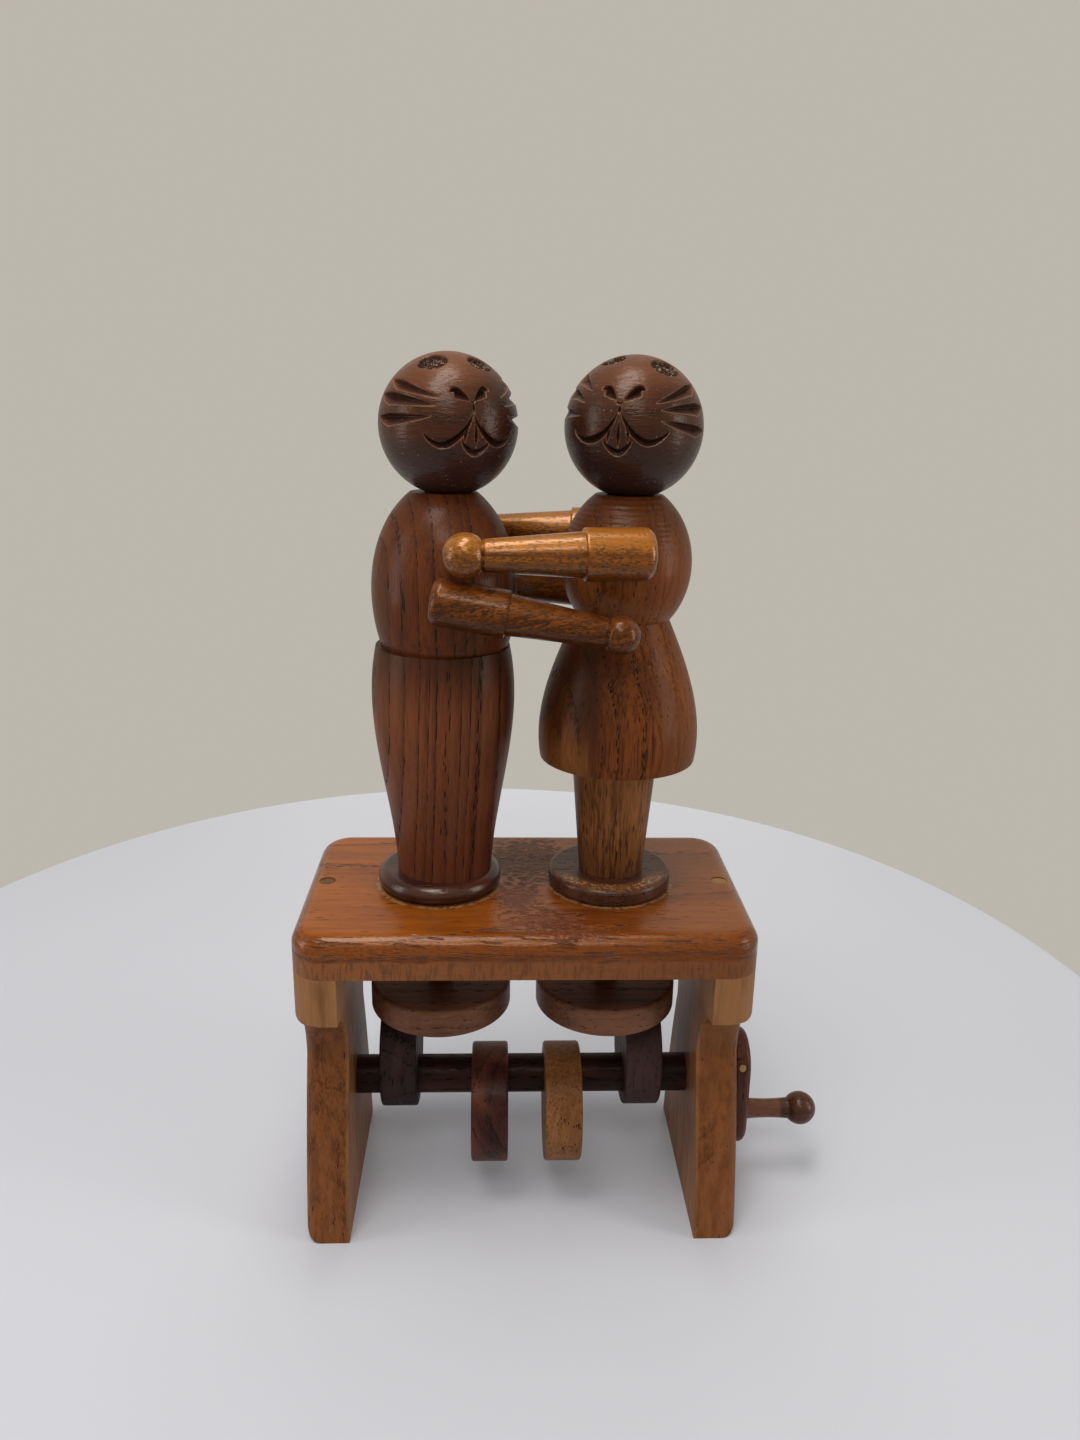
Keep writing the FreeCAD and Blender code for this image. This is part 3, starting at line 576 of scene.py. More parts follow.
flat_foot_wood = wood("dark teak, worn lacquer, right foot", "#4A281B", "#2C160F", "#100604",
                      grain="X", pith=(-90.0, 30.0), ring=2.4, ring_strength=0.5,
                      pore_size=(0.4, 1.6), loose_pores=0.03, row_pores=0.5, drift="#5A3424",
                      rough=0.34, gloss=0.25, coat=0.3, coat_rough=0.1)
dress(trouser_wood, "left_trousers")
dress(left_torso_wood, "left_torso")
dress(right_torso_wood, "right_torso")
dress(skirt_wood, "right_skirt")
dress(leg_wood, "right_legs")
dress(foot_wood, "left_foot")
dress(flat_foot_wood, "right_foot")

# %% The skirt's painted shadow, golden hem and painted light on its right side
flow = cloudy(skirt_wood, (1 / 5, 1 / 5, 1 / 40), 3.0)
swaying_x = plus(flow, 16.0, coordinate(skirt_wood, "X"))
swaying_z = plus(flow, 14.0, coordinate(skirt_wood, "Z"))
# Painted shadow: the skirt's upper left is dark where the other figure and its arm shade it
paint_over(skirt_wood, "#26120A", 0.7, fade(swaying_z, 145.0, 132.0),
      fade(swaying_x, RIGHT_AXIS, RIGHT_AXIS + 8.0))
paint_over(skirt_wood, "#7C5028", 0.45, fade(swaying_x, RIGHT_AXIS - 1.0, RIGHT_AXIS + 4.0),
      fade(swaying_z, 132.0, 142.0))
# Painted light: the skirt's right side is paler
paint_over(skirt_wood, "#96561F", 0.2, fade(swaying_x, RIGHT_AXIS + 22.0, RIGHT_AXIS + 12.0))

# %% Painted shade in the waist, above the feet and under the chin
TROUSER_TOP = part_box("left_trousers")[1].z / MM
# each: the finish, a height where it is full, one where it is none, its colour and strength
# Painted shade: under the waist and arms, low on the trousers and legs, and under the right head
PAINTED_SHADE = (
    (trouser_wood, TROUSER_TOP + 1.0, TROUSER_TOP - 16.0, "#1A0B07", 0.7),
    (trouser_wood, DECK_TOP + 4.0, DECK_TOP + 32.0, "#38140D", 0.45),
    (leg_wood, DECK_TOP + 4.0, DECK_TOP + 18.0, "#2E1710", 0.5),
    (right_torso_wood, 182.0, 168.0, "#36180E", 0.6),
)
for finish, full, none, paint, strength in PAINTED_SHADE:
    paint_over(finish, paint, strength, fade(coordinate(finish, "Z"), full, none))

# %% Turning marks on the right torso
MARK_TO_MARK = 1.1
turning = number("SINE", plus(coordinate(right_torso_wood, "Z"), 2 * math.pi / MARK_TO_MARK, 0.0))
near_neck = fade(coordinate(right_torso_wood, "Z"), 178.0, 172.0)
roughen(right_torso_wood, both(turning, near_neck), 0.7, 0.0)

# %% Wear on the flat foot: a rubbed crescent in front and a ring of pits
FOOT_RIM = 15.4
from_axis = from_upright(flat_foot_wood, (RIGHT_AXIS, 0.0))
scuffs = cloudy(flat_foot_wood, (1.4, 1.4, 1.4), 5.0)
rubbed_and_painted_highlight = both(fade(off(from_axis, FOOT_RIM - 2.4), 0.6, 2.4),
              fade(coordinate(flat_foot_wood, "Y"), -9.0, -2.0))
paint_over(flat_foot_wood, "#6A3F24", 0.75, rubbed_and_painted_highlight)
paint_over(flat_foot_wood, "#B08254", 0.7, rubbed_and_painted_highlight, fade(scuffs, 0.58, 0.48))
pits = speckled(flat_foot_wood, (0.42, 0.42, 0.1))
pit = both(fade(pits, 0.1, 0.2), fade(from_axis, 13.2, 14.4))
paint_over(flat_foot_wood, "#0A0403", 0.9, pit)
roughen(flat_foot_wood, pit, -6.0, 0.2)

# %% [markdown]
# ## The arms
# An arm is one straight turning: a sleeve with a rounded shoulder, a crisp step at the cuff, a
# tapering forearm, a fine groove at the wrist and a ball for the hand. Its shape is a rule,
# the radius at each place along it, so Geometry Nodes can be the lathe. A flat grid is bent
# round: one side of the grid runs along the arm and the other runs round it.

# %% Build the lathe for the arms
ARM_SIZES = ("Length", "Sleeve radius", "Sleeve length", "Shoulder round", "Cuff round",
             "Elbow radius", "Wrist radius", "Hand radius", "Groove depth", "Groove width")
NEARLY_ZERO = 0.0001     # of an arm's length
WELD = 0.001             # in millimetres: closer points become one


def arm_lathe():
    """The geometry recipe of one arm, from the shoulder's end at the origin along +X."""
    tree = bpy.data.node_groups.new("turned arm", "GeometryNodeTree")
    face = tree.interface
    for name in ARM_SIZES:
        face.new_socket(name, in_out="INPUT", socket_type="NodeSocketFloat")
    face.new_socket("Rows", in_out="INPUT", socket_type="NodeSocketInt")
    face.new_socket("Facets", in_out="INPUT", socket_type="NodeSocketInt")
    face.new_socket("Finish", in_out="INPUT", socket_type="NodeSocketMaterial")
    face.new_socket("Geometry", in_out="OUTPUT", socket_type="NodeSocketGeometry")
    size = add(tree, "NodeGroupInput").outputs

    def short_of_one(share):
        """How much a share lacks to 1, and never less than 0."""
        return number("MAXIMUM", number("SUBTRACT", 1.0, share), 0.0)

    def round_off(share):
        """How far a quarter circle falls away, as a share of its radius."""
        return number("SUBTRACT", 1.0, number("SQRT", short_of_one(number("POWER", share, 2.0))))

    seam = number("ADD", size["Facets"], 1.0)
    grid = add(tree, "GeometryNodeMeshGrid", None,
               {"Size X": 1.0, "Size Y": 1.0, "Vertices X": size["Rows"], "Vertices Y": seam})
    spot = add(tree, "ShaderNodeSeparateXYZ", None,
               {0: add(tree, "GeometryNodeInputPosition").outputs[0]})
    share = number("ADD", spot.outputs["X"], 0.5)
    angle = number("MULTIPLY", number("ADD", spot.outputs["Y"], 0.5), 2 * math.pi)
    along = spread(share, 0.0, 1.0, 0.0, size["Length"], curve="SMOOTHSTEP")

    # The sleeve, rounded at the shoulder and a little at the cuff
    shoulder = short_of_one(number("DIVIDE", along, size["Shoulder round"]))
    from_cuff = number("SUBTRACT", size["Sleeve length"], along)
    cuff = short_of_one(number("DIVIDE", from_cuff, size["Cuff round"]))
    sag = number("ADD", number("MULTIPLY", round_off(shoulder), size["Shoulder round"]),
                 number("MULTIPLY", round_off(number("MINIMUM", cuff, 1.0)), size["Cuff round"]))
    sleeve = number("SUBTRACT", size["Sleeve radius"], sag)

    # The forearm tapers to the ball of the hand
    hand_centre = number("SUBTRACT", size["Length"], size["Hand radius"])
    hand_square = number("POWER", size["Hand radius"], 2.0)
    wrist_at = number("SUBTRACT", hand_centre, number("SQRT", number(
        "SUBTRACT", hand_square, number("POWER", size["Wrist radius"], 2.0))))
    forearm = spread(along, size["Sleeve length"], wrist_at,
                     size["Elbow radius"], size["Wrist radius"])
    past = number("SUBTRACT", along, hand_centre)
    ball = number("SQRT", number("MAXIMUM", number(
        "SUBTRACT", hand_square, number("POWER", past, 2.0)), 0.0))
    before_centre = number("LESS_THAN", past, 0.0)
    arm = number("MAXIMUM", ball, number("MULTIPLY", forearm, before_centre))
    from_wrist = number("ABSOLUTE", number("SUBTRACT", along, wrist_at))
    groove_shape = short_of_one(number("DIVIDE", from_wrist, size["Groove width"]))
    grooved = number("SUBTRACT", arm, number("MULTIPLY", groove_shape, size["Groove depth"]))

    in_sleeve = number("GREATER_THAN", from_cuff, 0.0)
    joined = number("MULTIPLY_ADD", number("SUBTRACT", sleeve, grooved), in_sleeve, grooved)
    closed = number("MULTIPLY", joined, number("GREATER_THAN", share, NEARLY_ZERO))
    bent = add(tree, "ShaderNodeCombineXYZ", None,
               {"X": along, "Y": number("MULTIPLY", closed, number("COSINE", angle)),
                "Z": number("MULTIPLY", closed, number("SINE", angle))}).outputs[0]
    round_arm = add(tree, "GeometryNodeSetPosition", None,
                    {"Geometry": grid.outputs["Mesh"], "Position": bent}).outputs[0]
    welded = add(tree, "GeometryNodeMergeByDistance", None,
                 {"Geometry": round_arm, "Distance": WELD * MM}).outputs[0]
    real = add(tree, "GeometryNodeRealizeInstances", None, {"Geometry": welded}).outputs[0]
    dressed = add(tree, "GeometryNodeSetMaterial", None,
                  {"Geometry": real, "Material": size["Finish"]}).outputs[0]
    add(tree, "NodeGroupOutput", None, {"Geometry": dressed})
    return tree


lathe = arm_lathe()
print("nodes in the arm's lathe:", len(lathe.nodes))

# %% [markdown]
# ## Turning a recipe into a plain mesh
# The recipe runs as a modifier. Its sizes are set first, then the result is copied to a plain
# mesh and the modifier goes, because only plain meshes move with the toy and leave Blender.

# %% Run a recipe once
SHARP_FROM = 35     # degrees between two faces


def made_by(tree, name, values, place):
    """A plain mesh object from a geometry recipe, put in its place in the toy."""
    holder = placed("holder", bpy.data.meshes.new("holder"))
    recipe = holder.modifiers.new("recipe", "NODES")
    recipe.node_group = tree
    for item in tree.interface.items_tree:
        if item.in_out == "INPUT":
            recipe[item.identifier] = values[item.name]
    evaluated = holder.evaluated_get(bpy.context.evaluated_depsgraph_get())
    mesh = bpy.data.meshes.new_from_object(evaluated)
    bpy.data.objects.remove(holder)
    mesh.transform(place)
    facing = bmesh.new()
    facing.from_mesh(mesh)
    bmesh.ops.recalc_face_normals(facing, faces=facing.faces)
    facing.to_mesh(mesh)
    facing.free()
    mesh.shade_smooth()
    mesh.set_sharp_from_angle(angle=math.radians(SHARP_FROM))
    return placed(name, mesh)


# %% [markdown]
# ## Four arms from one lathe
# The right figure's arms are level and a little stouter. The left figure's arms slope down,
# and both pairs are toed out, so that the hands pass beside the other's body. Each shoulder
# sits on the end of its peg, which is already in the frame and says where the arm goes.

# %% Turn the arms
PEG_IN_SLEEVE = 1.6
ROWS = 300      # along an arm
FACETS = 72     # round it
# rubbed_and_painted_highlight on an arm: the colour and strength of the painted highlight on its
# upper side
ARMS = {
    "right": {"size": (45.8, 5.8, 15.5, 2.4, 0.45, 5.0, 3.5, 4.95, 0.35, 0.5),
              "facing": -1, "slope": 0.3, "toe_out": 5.8, "rubbed_and_painted_highlight": ("#C8802C", 0.26)},
    "left": {"size": (46.2, 5.3, 17.0, 2.0, 0.4, 4.6, 3.3, 4.4, 0.3, 0.5),
             "facing": 1, "slope": 9.6, "toe_out": 2.6, "rubbed_and_painted_highlight": ("#8A4E1E", 0.1)},
}
arm_finishes = {
    "right": wood("golden teak, gloss lacquer, right arms", "#8C4F12", "#3A1906", "#0A0301",
                  grain="X", pith=(-260.0, 60.0), lean=(0.0, 0.6), ring=2.4, ring_strength=0.7,
                  sway=0.6, pore_size=(0.42, 1.0), loose_pores=0.3, row_pores=0.6, drift="#7D4010",
                  drift_strength=0.6, streaks=0.6, rough=0.22, gloss=1.0, shine="#FFB060",
                  coat=0.4, coat_rough=0.1, depth=0.02),
    "left": wood("golden teak, gloss lacquer, left arms", "#6C3810", "#2E1405", "#0A0301",
                 grain="X", pith=(-260.0, -60.0), lean=(0.0, 9.6), ring=2.2, ring_strength=0.8,
                 sway=0.6, pore_size=(0.42, 1.1), loose_pores=0.2, row_pores=0.6, drift="#53250A",
                 drift_strength=0.6, streaks=0.6, rough=0.26, gloss=0.4, shine="#FFB070",
                 coat=0.25, coat_rough=0.12, depth=0.02),
}
for figure, arm in ARMS.items():
    finish = arm_finishes[figure]
    low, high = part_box(figure + "_shoulder_peg")

    # Painted highlight: the arm's upper side is golden. Painted shade: its underside is darker.
    # Dark streaks lie below the top
    tilt = arm["facing"] * math.tan(math.radians(arm["slope"]))
    axis_height = (low.z + high.z + tilt * (low.x + high.x)) / 2 / MM
    over_axis = plus(coordinate(finish, "X"), tilt,
                     plus(coordinate(finish, "Z"), 1.0, -axis_height))
    edge_wobble = cloudy(finish, (1 / 4, 1 / 1.5, 1 / 1.5), 4.0)
    over_axis = plus(edge_wobble, 3.0, over_axis)
    paint_over(finish, *arm["rubbed_and_painted_highlight"], fade(over_axis, 4.2, 1.8))
    paint_over(finish, "#2C1005", 0.45, fade(over_axis, -1.6, 1.2))
    net = cloudy(finish, (1 / 1.1, 1 / 0.5, 1 / 0.5), 3.0)
    paint_over(finish, "#2E1104", 0.75, fade(net, 0.42, 0.49), fade(over_axis, 2.5, 5.5))

    values = dict(zip(ARM_SIZES, (v * MM for v in arm["size"])))
    values.update({"Rows": ROWS, "Facets": FACETS, "Finish": finish["material"]})
    for side_name, side in (("near", -1), ("far", 1)):
        shoulder = Vector(((low.x + high.x) / 2, side * (high.y - PEG_IN_SLEEVE * MM),
                           (low.z + high.z) / 2))
        place = (
            Matrix.Translation(shoulder)
            @ Matrix.Rotation(math.radians(side * arm["facing"] * arm["toe_out"]), 4, "Z")
            @ Matrix.Rotation(math.radians(90 - 90 * arm["facing"]), 4, "Z")
            @ Matrix.Rotation(math.radians(arm["slope"]), 4, "Y")
            @ Matrix.Translation((-values["Sleeve radius"], 0.0, 0.0))
        )
        node = f"{figure}_{side_name}_arm"
        turned_arm = made_by(lathe, node + "_turned", values, place)
        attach(turned_arm, figure + "_figure")
        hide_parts(node)
        print(node, "faces:", len(turned_arm.data.polygons))

# %% [markdown]
# ## The heads
# A head is a turned ball with a face cut into it by gouge and knife: two chiselled eyes high
# up, comma-shaped nostrils, a split lip over two teeth, and three long cuts for whiskers on
# each cheek. Painting the cuts on would stay flat in raking light, so they are real: each cut
# is a line on the ball with a width and a depth, and the ball's points sink where it passes.
# A place on a face is written as two angles, round the ball from the face's own front and
# up from its middle.

# %% The cuts of both faces
HEAD_RADIUS = 15.7
# front: where the face looks, in degrees
# each eye: its place, half its width and half its height
# each cut: its line, width, depth, where it is widest (0 to 1), steep side
HEADS = {
    "left": {
        "centre": (-31.65, 0.0, 200.6), "front": 22.5,
        "eyes": [((-45, 59), 3.6, 3.1), ((34, 57), 3.3, 2.8)],
        "cuts": [
            ([(-19, 27), (-15, 30), (-8, 26), (-1, 20)], 3.2, 1.9, 0.4, 1),
            ([(19, 28), (15, 31), (9, 27), (2, 20)], 3.0, 1.9, 0.4, -1),
            ([(-3, 21), (0.5, 19), (4, 22)], 0.7, 0.5, 0.5, 0),
            ([(1, 20), (1, 10)], 0.8, 0.9, 0.6, 0),
            ([(1, 12), (-4, 3), (-10, -4), (-18, -10), (-27, -13), (-36, -9), (-41, -4)],
             1.9, 1.7, 0.6, -1),
            ([(1, 12), (4, 3), (10, -4), (18, -10), (28, -12), (38, -8), (44, -3)],
             1.9, 1.7, 0.6, 1),
            ([(2, 8), (3, -17)], 0.9, 0.9, 0.6, 0),
            ([(-2, 4), (-6, -4), (-7, -13)], 0.9, 0.8, 0.6, 0),
            ([(6, 4), (10, -4), (12, -12)], 0.9, 0.8, 0.6, 0),
            ([(-10, -10), (-4, -16), (3, -19), (10, -16), (16, -10)], 1.9, 1.5, 0.5, 1),
            ([(-27, 22), (-51, 30), (-92, 37)], 3.0, 1.5, 0.7, -1),
            ([(-30, 16), (-60, 22), (-100, 24)], 3.6, 1.7, 0.7, -1),
            ([(-33, 8), (-59, 7.5), (-95, 6)], 3.3, 1.7, 0.7, -1),
            ([(31, 23), (50, 34), (84, 42)], 3.1, 1.6, 0.7, 1),
            ([(33, 16), (52, 22), (92, 25)], 3.4, 1.8, 0.7, 1),
            ([(35, 8), (55, 5.5), (92, 5)], 3.2, 1.7, 0.7, 1),
        ],
    },
    "right": {
        "centre": (10.15, 0.0, 200.6), "front": -20.5,
        "eyes": [((-42, 67), 3.3, 2.8), ((60, 56), 3.7, 3.1)],
        "cuts": [
            ([(-18, 31), (-14, 34), (-9, 31), (-2, 23)], 3.1, 1.9, 0.4, 1),
            ([(24, 31), (19, 34), (11, 29), (4, 22)], 3.2, 1.9, 0.4, -1),
            ([(-4, 24), (1, 20), (6, 23)], 0.8, 0.6, 0.5, 0),
            ([(1.5, 19), (1.5, 12)], 0.8, 0.9, 0.6, 0),
            ([(1, 15), (-4, 6), (-10, -1), (-18, -6), (-29, -8), (-38, -5), (-42, 0)],
             1.9, 1.7, 0.6, -1),
            ([(2, 15), (8, 5), (15, -3), (23, -8), (31, -8), (39, -4), (44, 0)],
             1.9, 1.7, 0.6, 1),
            ([(2, 9), (1, -15)], 0.9, 0.9, 0.6, 0),
            ([(-2, 6), (-6, -2), (-8, -11)], 0.9, 0.8, 0.6, 0),
            ([(6, 6), (9, -2), (9, -11)], 0.9, 0.8, 0.6, 0),
            ([(-12, -8), (-6, -14), (1, -17), (7, -14), (13, -8)], 1.9, 1.5, 0.5, 1),
            ([(31, 20), (54, 29), (95, 37)], 3.2, 1.6, 0.7, 1),
            ([(35, 15), (58, 18), (96, 18)], 3.5, 1.7, 0.7, 1),
            ([(35, 7), (56, 4), (92, -1)], 3.1, 1.6, 0.7, 1),
            ([(-28, 30), (-45, 39), (-78, 46)], 3.0, 1.6, 0.7, -1),
            ([(-33, 20), (-47, 27), (-85, 30)], 3.4, 1.8, 0.7, -1),
            ([(-35, 10), (-52, 13), (-88, 12)], 3.2, 1.7, 0.7, -1),
        ],
    },
}

# %% Carve a line into a ball of points
REACH = 2.5            # how far beyond its width a cut is looked for, in millimetres
NARROWEST = 0.05       # half the width of a cut at its ends, in millimetres
END_TAPER = 0.6        # below 1, a cut stays deep nearly to its ends
HOLLOW = 0.85          # below 1, its walls are a little hollow, as a gouge leaves them
STEEP_WALL = 0.45      # of half the width
GENTLE_WALL = 1.4      # of half the width
EYE_DEPTH = 1.0        # in millimetres, as the next two
CHIP_DEPTH = 0.9
ROUGH_DEPTH = 0.15
CHIPS_PER_MM = 0.9
ROUGH_PER_MM = 3.0
EYE_WALL = 0.22        # the share of an eye that slopes down to its bottom


def on_ball(front, place):
    """A direction from the ball's centre, from a place on the face in degrees."""
    round_angle = math.radians(front + place[0])
    up_angle = math.radians(place[1])
    return np.array([math.sin(round_angle) * math.cos(up_angle),
                     -math.cos(round_angle) * math.cos(up_angle), math.sin(up_angle)])


def smooth_line(points, steps=10):
    """Points on a smooth curve on the ball through a few given ones."""
    ends = [2 * points[0] - points[1], *points, 2 * points[-1] - points[-2]]
    curve = []
    for i in range(1, len(ends) - 2):
        a, b, c, d = ends[i - 1:i + 3]
        for step in range(steps):
            t = step / steps
            curve.append(0.5 * (2 * b + (c - a) * t + (2 * a - 5 * b + 4 * c - d) * t ** 2
                                + (3 * b - a - 3 * c + d) * t ** 3))
    curve.append(points[-1])
    curve = np.array(curve)
    return curve / np.linalg.norm(curve, axis=1)[:, None]


def cut_depth(ball, front, cut):
    """How far one cut sinks each point of a unit ball, in millimetres."""
    line, width, depth, widest, steep = cut
    curve = smooth_line([on_ball(front, p) for p in line]) * HEAD_RADIUS
    lengths = np.linalg.norm(np.diff(curve, axis=0), axis=1)
    travelled = np.concatenate([[0], np.cumsum(lengths)])
    total = travelled[-1]
    sunk = np.zeros(len(ball))
    points = ball * HEAD_RADIUS
    near = np.where(np.min(np.linalg.norm(
        points[:, None, :] - curve[None, ::5, :], axis=2), axis=1) < width + REACH)[0]
    best = np.full(len(near), 1e9)
    at = np.zeros(len(near))
    side = np.zeros(len(near))
    for i, (start, end) in enumerate(zip(curve[:-1], curve[1:])):
        run = end - start
        share = np.clip((points[near] - start) @ run / (run @ run), 0, 1)
        gap = points[near] - (start + share[:, None] * run)
        far = np.linalg.norm(gap, axis=1)
        closer = far < best
        best = np.where(closer, far, best)
        at = np.where(closer, travelled[i] + share * lengths[i], at)
        out = np.cross(start / HEAD_RADIUS, run)
        side = np.where(closer, np.sign(gap @ out), side)
    share = at / total
    swell = np.where(share < widest, share / widest, (1 - share) / (1 - widest))
    swell = np.clip(swell, 0, 1) ** END_TAPER
    half = np.maximum(width / 2 * swell, NARROWEST)
    if steep:
        half = np.where(side == steep, half * STEEP_WALL, half * GENTLE_WALL)
    shape = np.clip(1 - best / half, 0, 1)
    sunk[near] = depth * swell * shape ** HOLLOW
    return sunk


def eye_depth(ball, front, eye):
    """How far a chiselled eye sinks each point: steep walls and a chipped bottom."""
    place, half_width, half_height = eye
    middle = on_ball(front, place)
    east = np.cross((0, 0, 1), middle)
    east /= np.linalg.norm(east)
    north = np.cross(middle, east)
    gap = (ball - middle) * HEAD_RADIUS
    inside = (gap @ east / half_width) ** 2 + (gap @ north / half_height) ** 2
    inside = np.where(ball @ middle > 0.5, np.sqrt(inside), 9.0)
    near = np.where(inside < 1)[0]
    sunk = np.zeros(len(ball))
    for i in near:
        spot = Vector(ball[i] * HEAD_RADIUS)
        chips = noise.voronoi(spot * CHIPS_PER_MM)[0]
        wall = min((1 - inside[i]) / EYE_WALL, 1.0)
        sunk[i] = wall * (EYE_DEPTH + CHIP_DEPTH * (chips[1] - chips[0])
                          + ROUGH_DEPTH * noise.noise(spot * ROUGH_PER_MM))
    return sunk


# %% Carve a head
BALL_FINENESS = 7      # an icosahedron is 1, and each step splits its triangles in four


def carve_head(name, head):
    """The carved ball: fine triangles everywhere, and finer ones beside the cuts."""
    shape = bmesh.new()
    bmesh.ops.create_icosphere(shape, subdivisions=BALL_FINENESS, radius=1.0)
    for refine in (True, False):
        shape.verts.ensure_lookup_table()
        ball = np.array([v.co for v in shape.verts])
        ball /= np.linalg.norm(ball, axis=1)[:, None]
        sunk = np.zeros(len(ball))
        for cut in head["cuts"]:
            sunk = np.maximum(sunk, cut_depth(ball, head["front"], cut))
        chiselled = np.zeros(len(ball))
        for eye in head["eyes"]:
            chiselled = np.maximum(chiselled, eye_depth(ball, head["front"], eye))
        in_face_cut = np.where(chiselled > 0, 0.0, sunk)
        sunk = np.maximum(sunk, chiselled)
        if refine:
            cut_here = sunk > 0
            edges = [e for e in shape.edges if any(cut_here[v.index] for v in e.verts)]
            bmesh.ops.subdivide_edges(shape, edges=edges, cuts=1, use_grid_fill=True)
            bmesh.ops.triangulate(shape, faces=shape.faces)
    spots = ball * (HEAD_RADIUS - sunk)[:, None] + np.array(head["centre"])
    for vert, spot in zip(shape.verts, spots):
        vert.co = metres(spot)
    mesh = mesh_of(shape, name)
    for trace, depths in (("cut_depth", in_face_cut), ("eye_depth", chiselled)):
        mesh.attributes.new(trace, "FLOAT", "POINT").data.foreach_set("value", depths)
    mesh.shade_smooth()
    return placed(name, mesh)


# %% Finish the heads
# heights where the painted light on the crown and the painted shade on the jaw are full and gone
LIT_CROWN = (219.0, 207.0)
SHADED_JAW = (198.5, 203.0)

head_wood = wood("rosewood, satin lacquer, heads", "#3D1A0D", "#200D08", "#120605", grain="X",
                 pith=(-150.0, 60.0), lean=(0.0, 2.0), ring=3.0, ring_strength=0.5,
                 pore_size=(0.3, 0.9), loose_pores=0.04, row_pores=0.2, drift="#542010",
                 drift_strength=0.4, rough=0.3, gloss=0.26, shine="#FFD0A8", coat=0.26,
                 coat_rough=0.12)
band = cloudy(head_wood, (1 / 12, 1 / 12, 1 / 1.6))
wavy_rise = plus(band, 6.0, coordinate(head_wood, "Z"))
# Painted light on the crown; painted shade on the jaw, tinted grey-blue as a painted reflection of
# the white table
paint_over(head_wood, "#7E4A2C", 0.55, fade(wavy_rise, *LIT_CROWN))
paint_over(head_wood, "#2B2324", 0.52, fade(wavy_rise, *SHADED_JAW))

# Painted shade on the left head's right cheek, away from the light; all of the right head is
# darker too
cheek = coordinate(head_wood, "X")
paint_over(head_wood, "#180906", 0.6, fade(cheek, -18.0, -29.0), fade(cheek, -14.0, -10.0))
paint_over(head_wood, "#200C07", 0.22, fade(cheek, -5.0, -10.0))

# Each cut is dark and dull inside, partly stain gathered in it and partly painted shade, with a
# pale lip at its rim, partly rubbed and partly painted highlight, and chips catch light in the
# eyes
cut, eye = (add(head_wood["tree"], "ShaderNodeAttribute", {"attribute_name": trace}).outputs["Fac"]
            for trace in ("cut_depth", "eye_depth"))
in_cut = fade(cut, 1.0, 0.1)
in_eye = fade(eye, 0.5, 0.05)
chips = cloudy(head_wood, (1.6, 1.6, 2.4), 4.0)
paint_over(head_wood, "#9A6A4A", 0.4, fade(cut, 0.06, 0.01), fade(cut, 0.12, 0.3))
paint_over(head_wood, "#1E0D07", 0.75, in_cut)
paint_over(head_wood, "#1C0B07", 0.9, in_eye)
paint_over(head_wood, "#A98468", 0.8, fade(chips, 0.64, 0.55), fade(eye, 1.1, 0.7))
roughen(head_wood, in_cut, 0.0, 0.5)
roughen(head_wood, in_eye, 0.0, 0.5)

# The lacquer ripples along the grain, and pale specks lie in broken level lines
ripple = cloudy(head_wood, (0.4, 0.4, 1.6), 3.0)
roughen(head_wood, ripple, 3.0, 0.1)
specks = speckled(head_wood, (0.8, 0.8, 0.8))
lines = cloudy(head_wood, (0.06, 0.06, 0.55))
paint_over(head_wood, "#A88A78", 0.4, fade(specks, 0.08, 0.2), fade(lines, 0.62, 0.52))

# %% Make both heads
for figure, head in HEADS.items():
    carved = carve_head(figure + "_head_carved", head)
    carved.data.materials.append(head_wood["material"])
    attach(carved, figure + "_figure")
    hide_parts(figure + "_head")
    print(figure, "head, triangles:", len(carved.data.polygons))

# %% [markdown]
# ## The stand
# The toy stands on a round white table in front of a warm grey wall. The table is a thin disc
# with an eased edge. The wall needs no object: it is the colour of the world where the camera
# or a reflection looks into it, while the world's own light stays plain.

# %% Make the white table
STAND_CENTRE = (-29.0, 71.0)
STAND_RADIUS = 232.0
STAND_EDGE = 1.5
STAND_THICKNESS = 16.0
STAND_SIDES = 180

profile = [(0.0, 0.0), (STAND_RADIUS - STAND_EDGE, 0.0),
           (STAND_RADIUS - 0.3 * STAND_EDGE, -0.3 * STAND_EDGE), (STAND_RADIUS, -STAND_EDGE),
           (STAND_RADIUS, 2.0 - STAND_THICKNESS),
           (STAND_RADIUS - 2.0, -STAND_THICKNESS), (0.0, -STAND_THICKNESS)]
shape = bmesh.new()
rim = [shape.verts.new(metres((r, 0.0, z))) for r, z in profile]
for a, b in zip(rim[:-1], rim[1:]):
    shape.edges.new((a, b))
bmesh.ops.spin(shape, geom=shape.verts[:] + shape.edges[:], axis=(0, 0, 1), cent=(0, 0, 0),
               angle=2 * math.pi, steps=STAND_SIDES, use_merge=True)
bmesh.ops.remove_doubles(shape, verts=shape.verts, dist=0.01 * MM)
bmesh.ops.recalc_face_normals(shape, faces=shape.faces)
bmesh.ops.translate(shape, verts=shape.verts, vec=metres((*STAND_CENTRE, 0.0)))
floor = placed("white_table", mesh_of(shape, "white_table"))

paint = bpy.data.materials.new("white lacquered board")
paint.use_nodes = True
paint.node_tree.nodes.clear()
cover = add(paint.node_tree, "ShaderNodeBsdfPrincipled", None,
            {"Base Color": colour("#C9CBD2"), "Roughness": 0.5, "IOR": 1.45})
add(paint.node_tree, "ShaderNodeOutputMaterial", None, {"Surface": cover.outputs[0]})
floor.data.materials.append(paint)

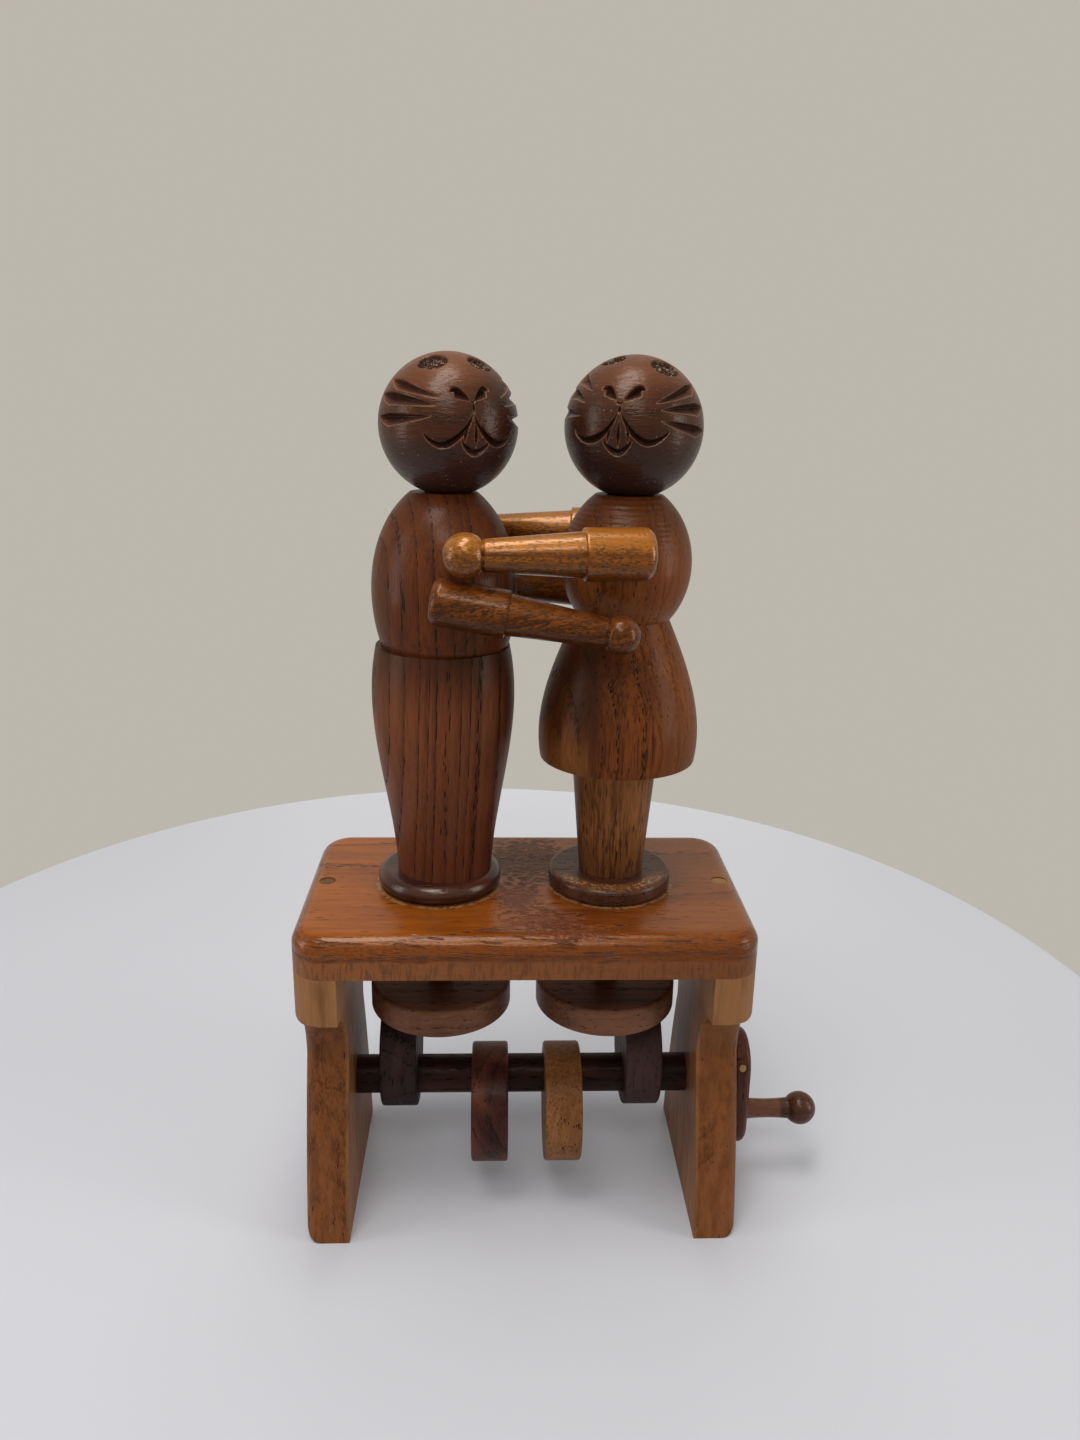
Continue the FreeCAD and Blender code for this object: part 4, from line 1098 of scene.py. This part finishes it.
# %% [markdown]
# ## Light
# The room's light comes down from a soft lamp overhead, a little in front and to the left, so
# every round top shines, the fronts stay deep in colour and each shadow falls close under its
# piece. A smaller ceiling lamp further in front gives the carved faces their gleam. Two
# upright lamps at the sides light the flanks of the turned pieces. A broad lamp behind and a
# weak one in front stand for the light that the room's walls give back. Those two may not be
# seen in the lacquer, because a wall that broad would lay a grey veil over every dark wood.
# The world adds a little plain light all round.

# %% Hang the lamps
LOOK_AT = metres((-13.0, 0.0, 100.0))
# each lamp: where it hangs, its width and length, power, tint, and whether lacquer shows it
LAMPS = {
    "overhead_lamp": ((-100.0, -130.0, 760.0), (220.0, 520.0), 3.1, "#FFFCF8", True),
    "ceiling_lamp": ((-40.0, -500.0, 640.0), (260.0, 160.0), 0.9, "#FFFCF8", True),
    "left_lamp": ((-540.0, -110.0, 240.0), (160.0, 420.0), 0.75, "#FFFCF8", True),
    "right_lamp": ((540.0, -170.0, 240.0), (160.0, 420.0), 1.0, "#FFFAF4", True),
    "back_lamp": ((20.0, 560.0, 220.0), (500.0, 300.0), 1.1, "#FFFDFA", False),
    "front_lamp": ((-160.0, -600.0, 190.0), (500.0, 300.0), 0.4, "#FFFDFA", False),
}

for name, (at, (width, length), power, tint, in_lacquer) in LAMPS.items():
    lamp = bpy.data.lights.new(name, "AREA")
    lamp.shape = "RECTANGLE"
    lamp.size = width * MM
    lamp.size_y = length * MM
    lamp.energy = power
    lamp.color = colour(tint)[:3]
    hung = placed(name, lamp)
    hung.location = metres(at)
    hung.rotation_euler = (LOOK_AT - hung.location).to_track_quat("-Z", "Y").to_euler()
    hung.visible_glossy = in_lacquer

world = bpy.data.worlds.new("bright room")
bpy.context.scene.world = world
world.use_nodes = True
sky = world.node_tree
sky.nodes.clear()
path = add(sky, "ShaderNodeLightPath").outputs
looked_at = number("MAXIMUM", path["Is Camera Ray"], path["Is Transmission Ray"])
seen = number("MAXIMUM", looked_at, path["Is Glossy Ray"])
wall = add(sky, "ShaderNodeBackground", None, {"Color": colour("#BCB7AC"), "Strength": 1.0})
room = add(sky, "ShaderNodeBackground", None, {"Color": colour("#F4F3F2"), "Strength": 0.3})
mixed = add(sky, "ShaderNodeMixShader", None,
            {0: seen, 1: room.outputs[0], 2: wall.outputs[0]})
add(sky, "ShaderNodeOutputWorld", None, {"Surface": mixed.outputs[0]})

# %% Show colours as they are written
bpy.context.scene.view_settings.view_transform = "Standard"
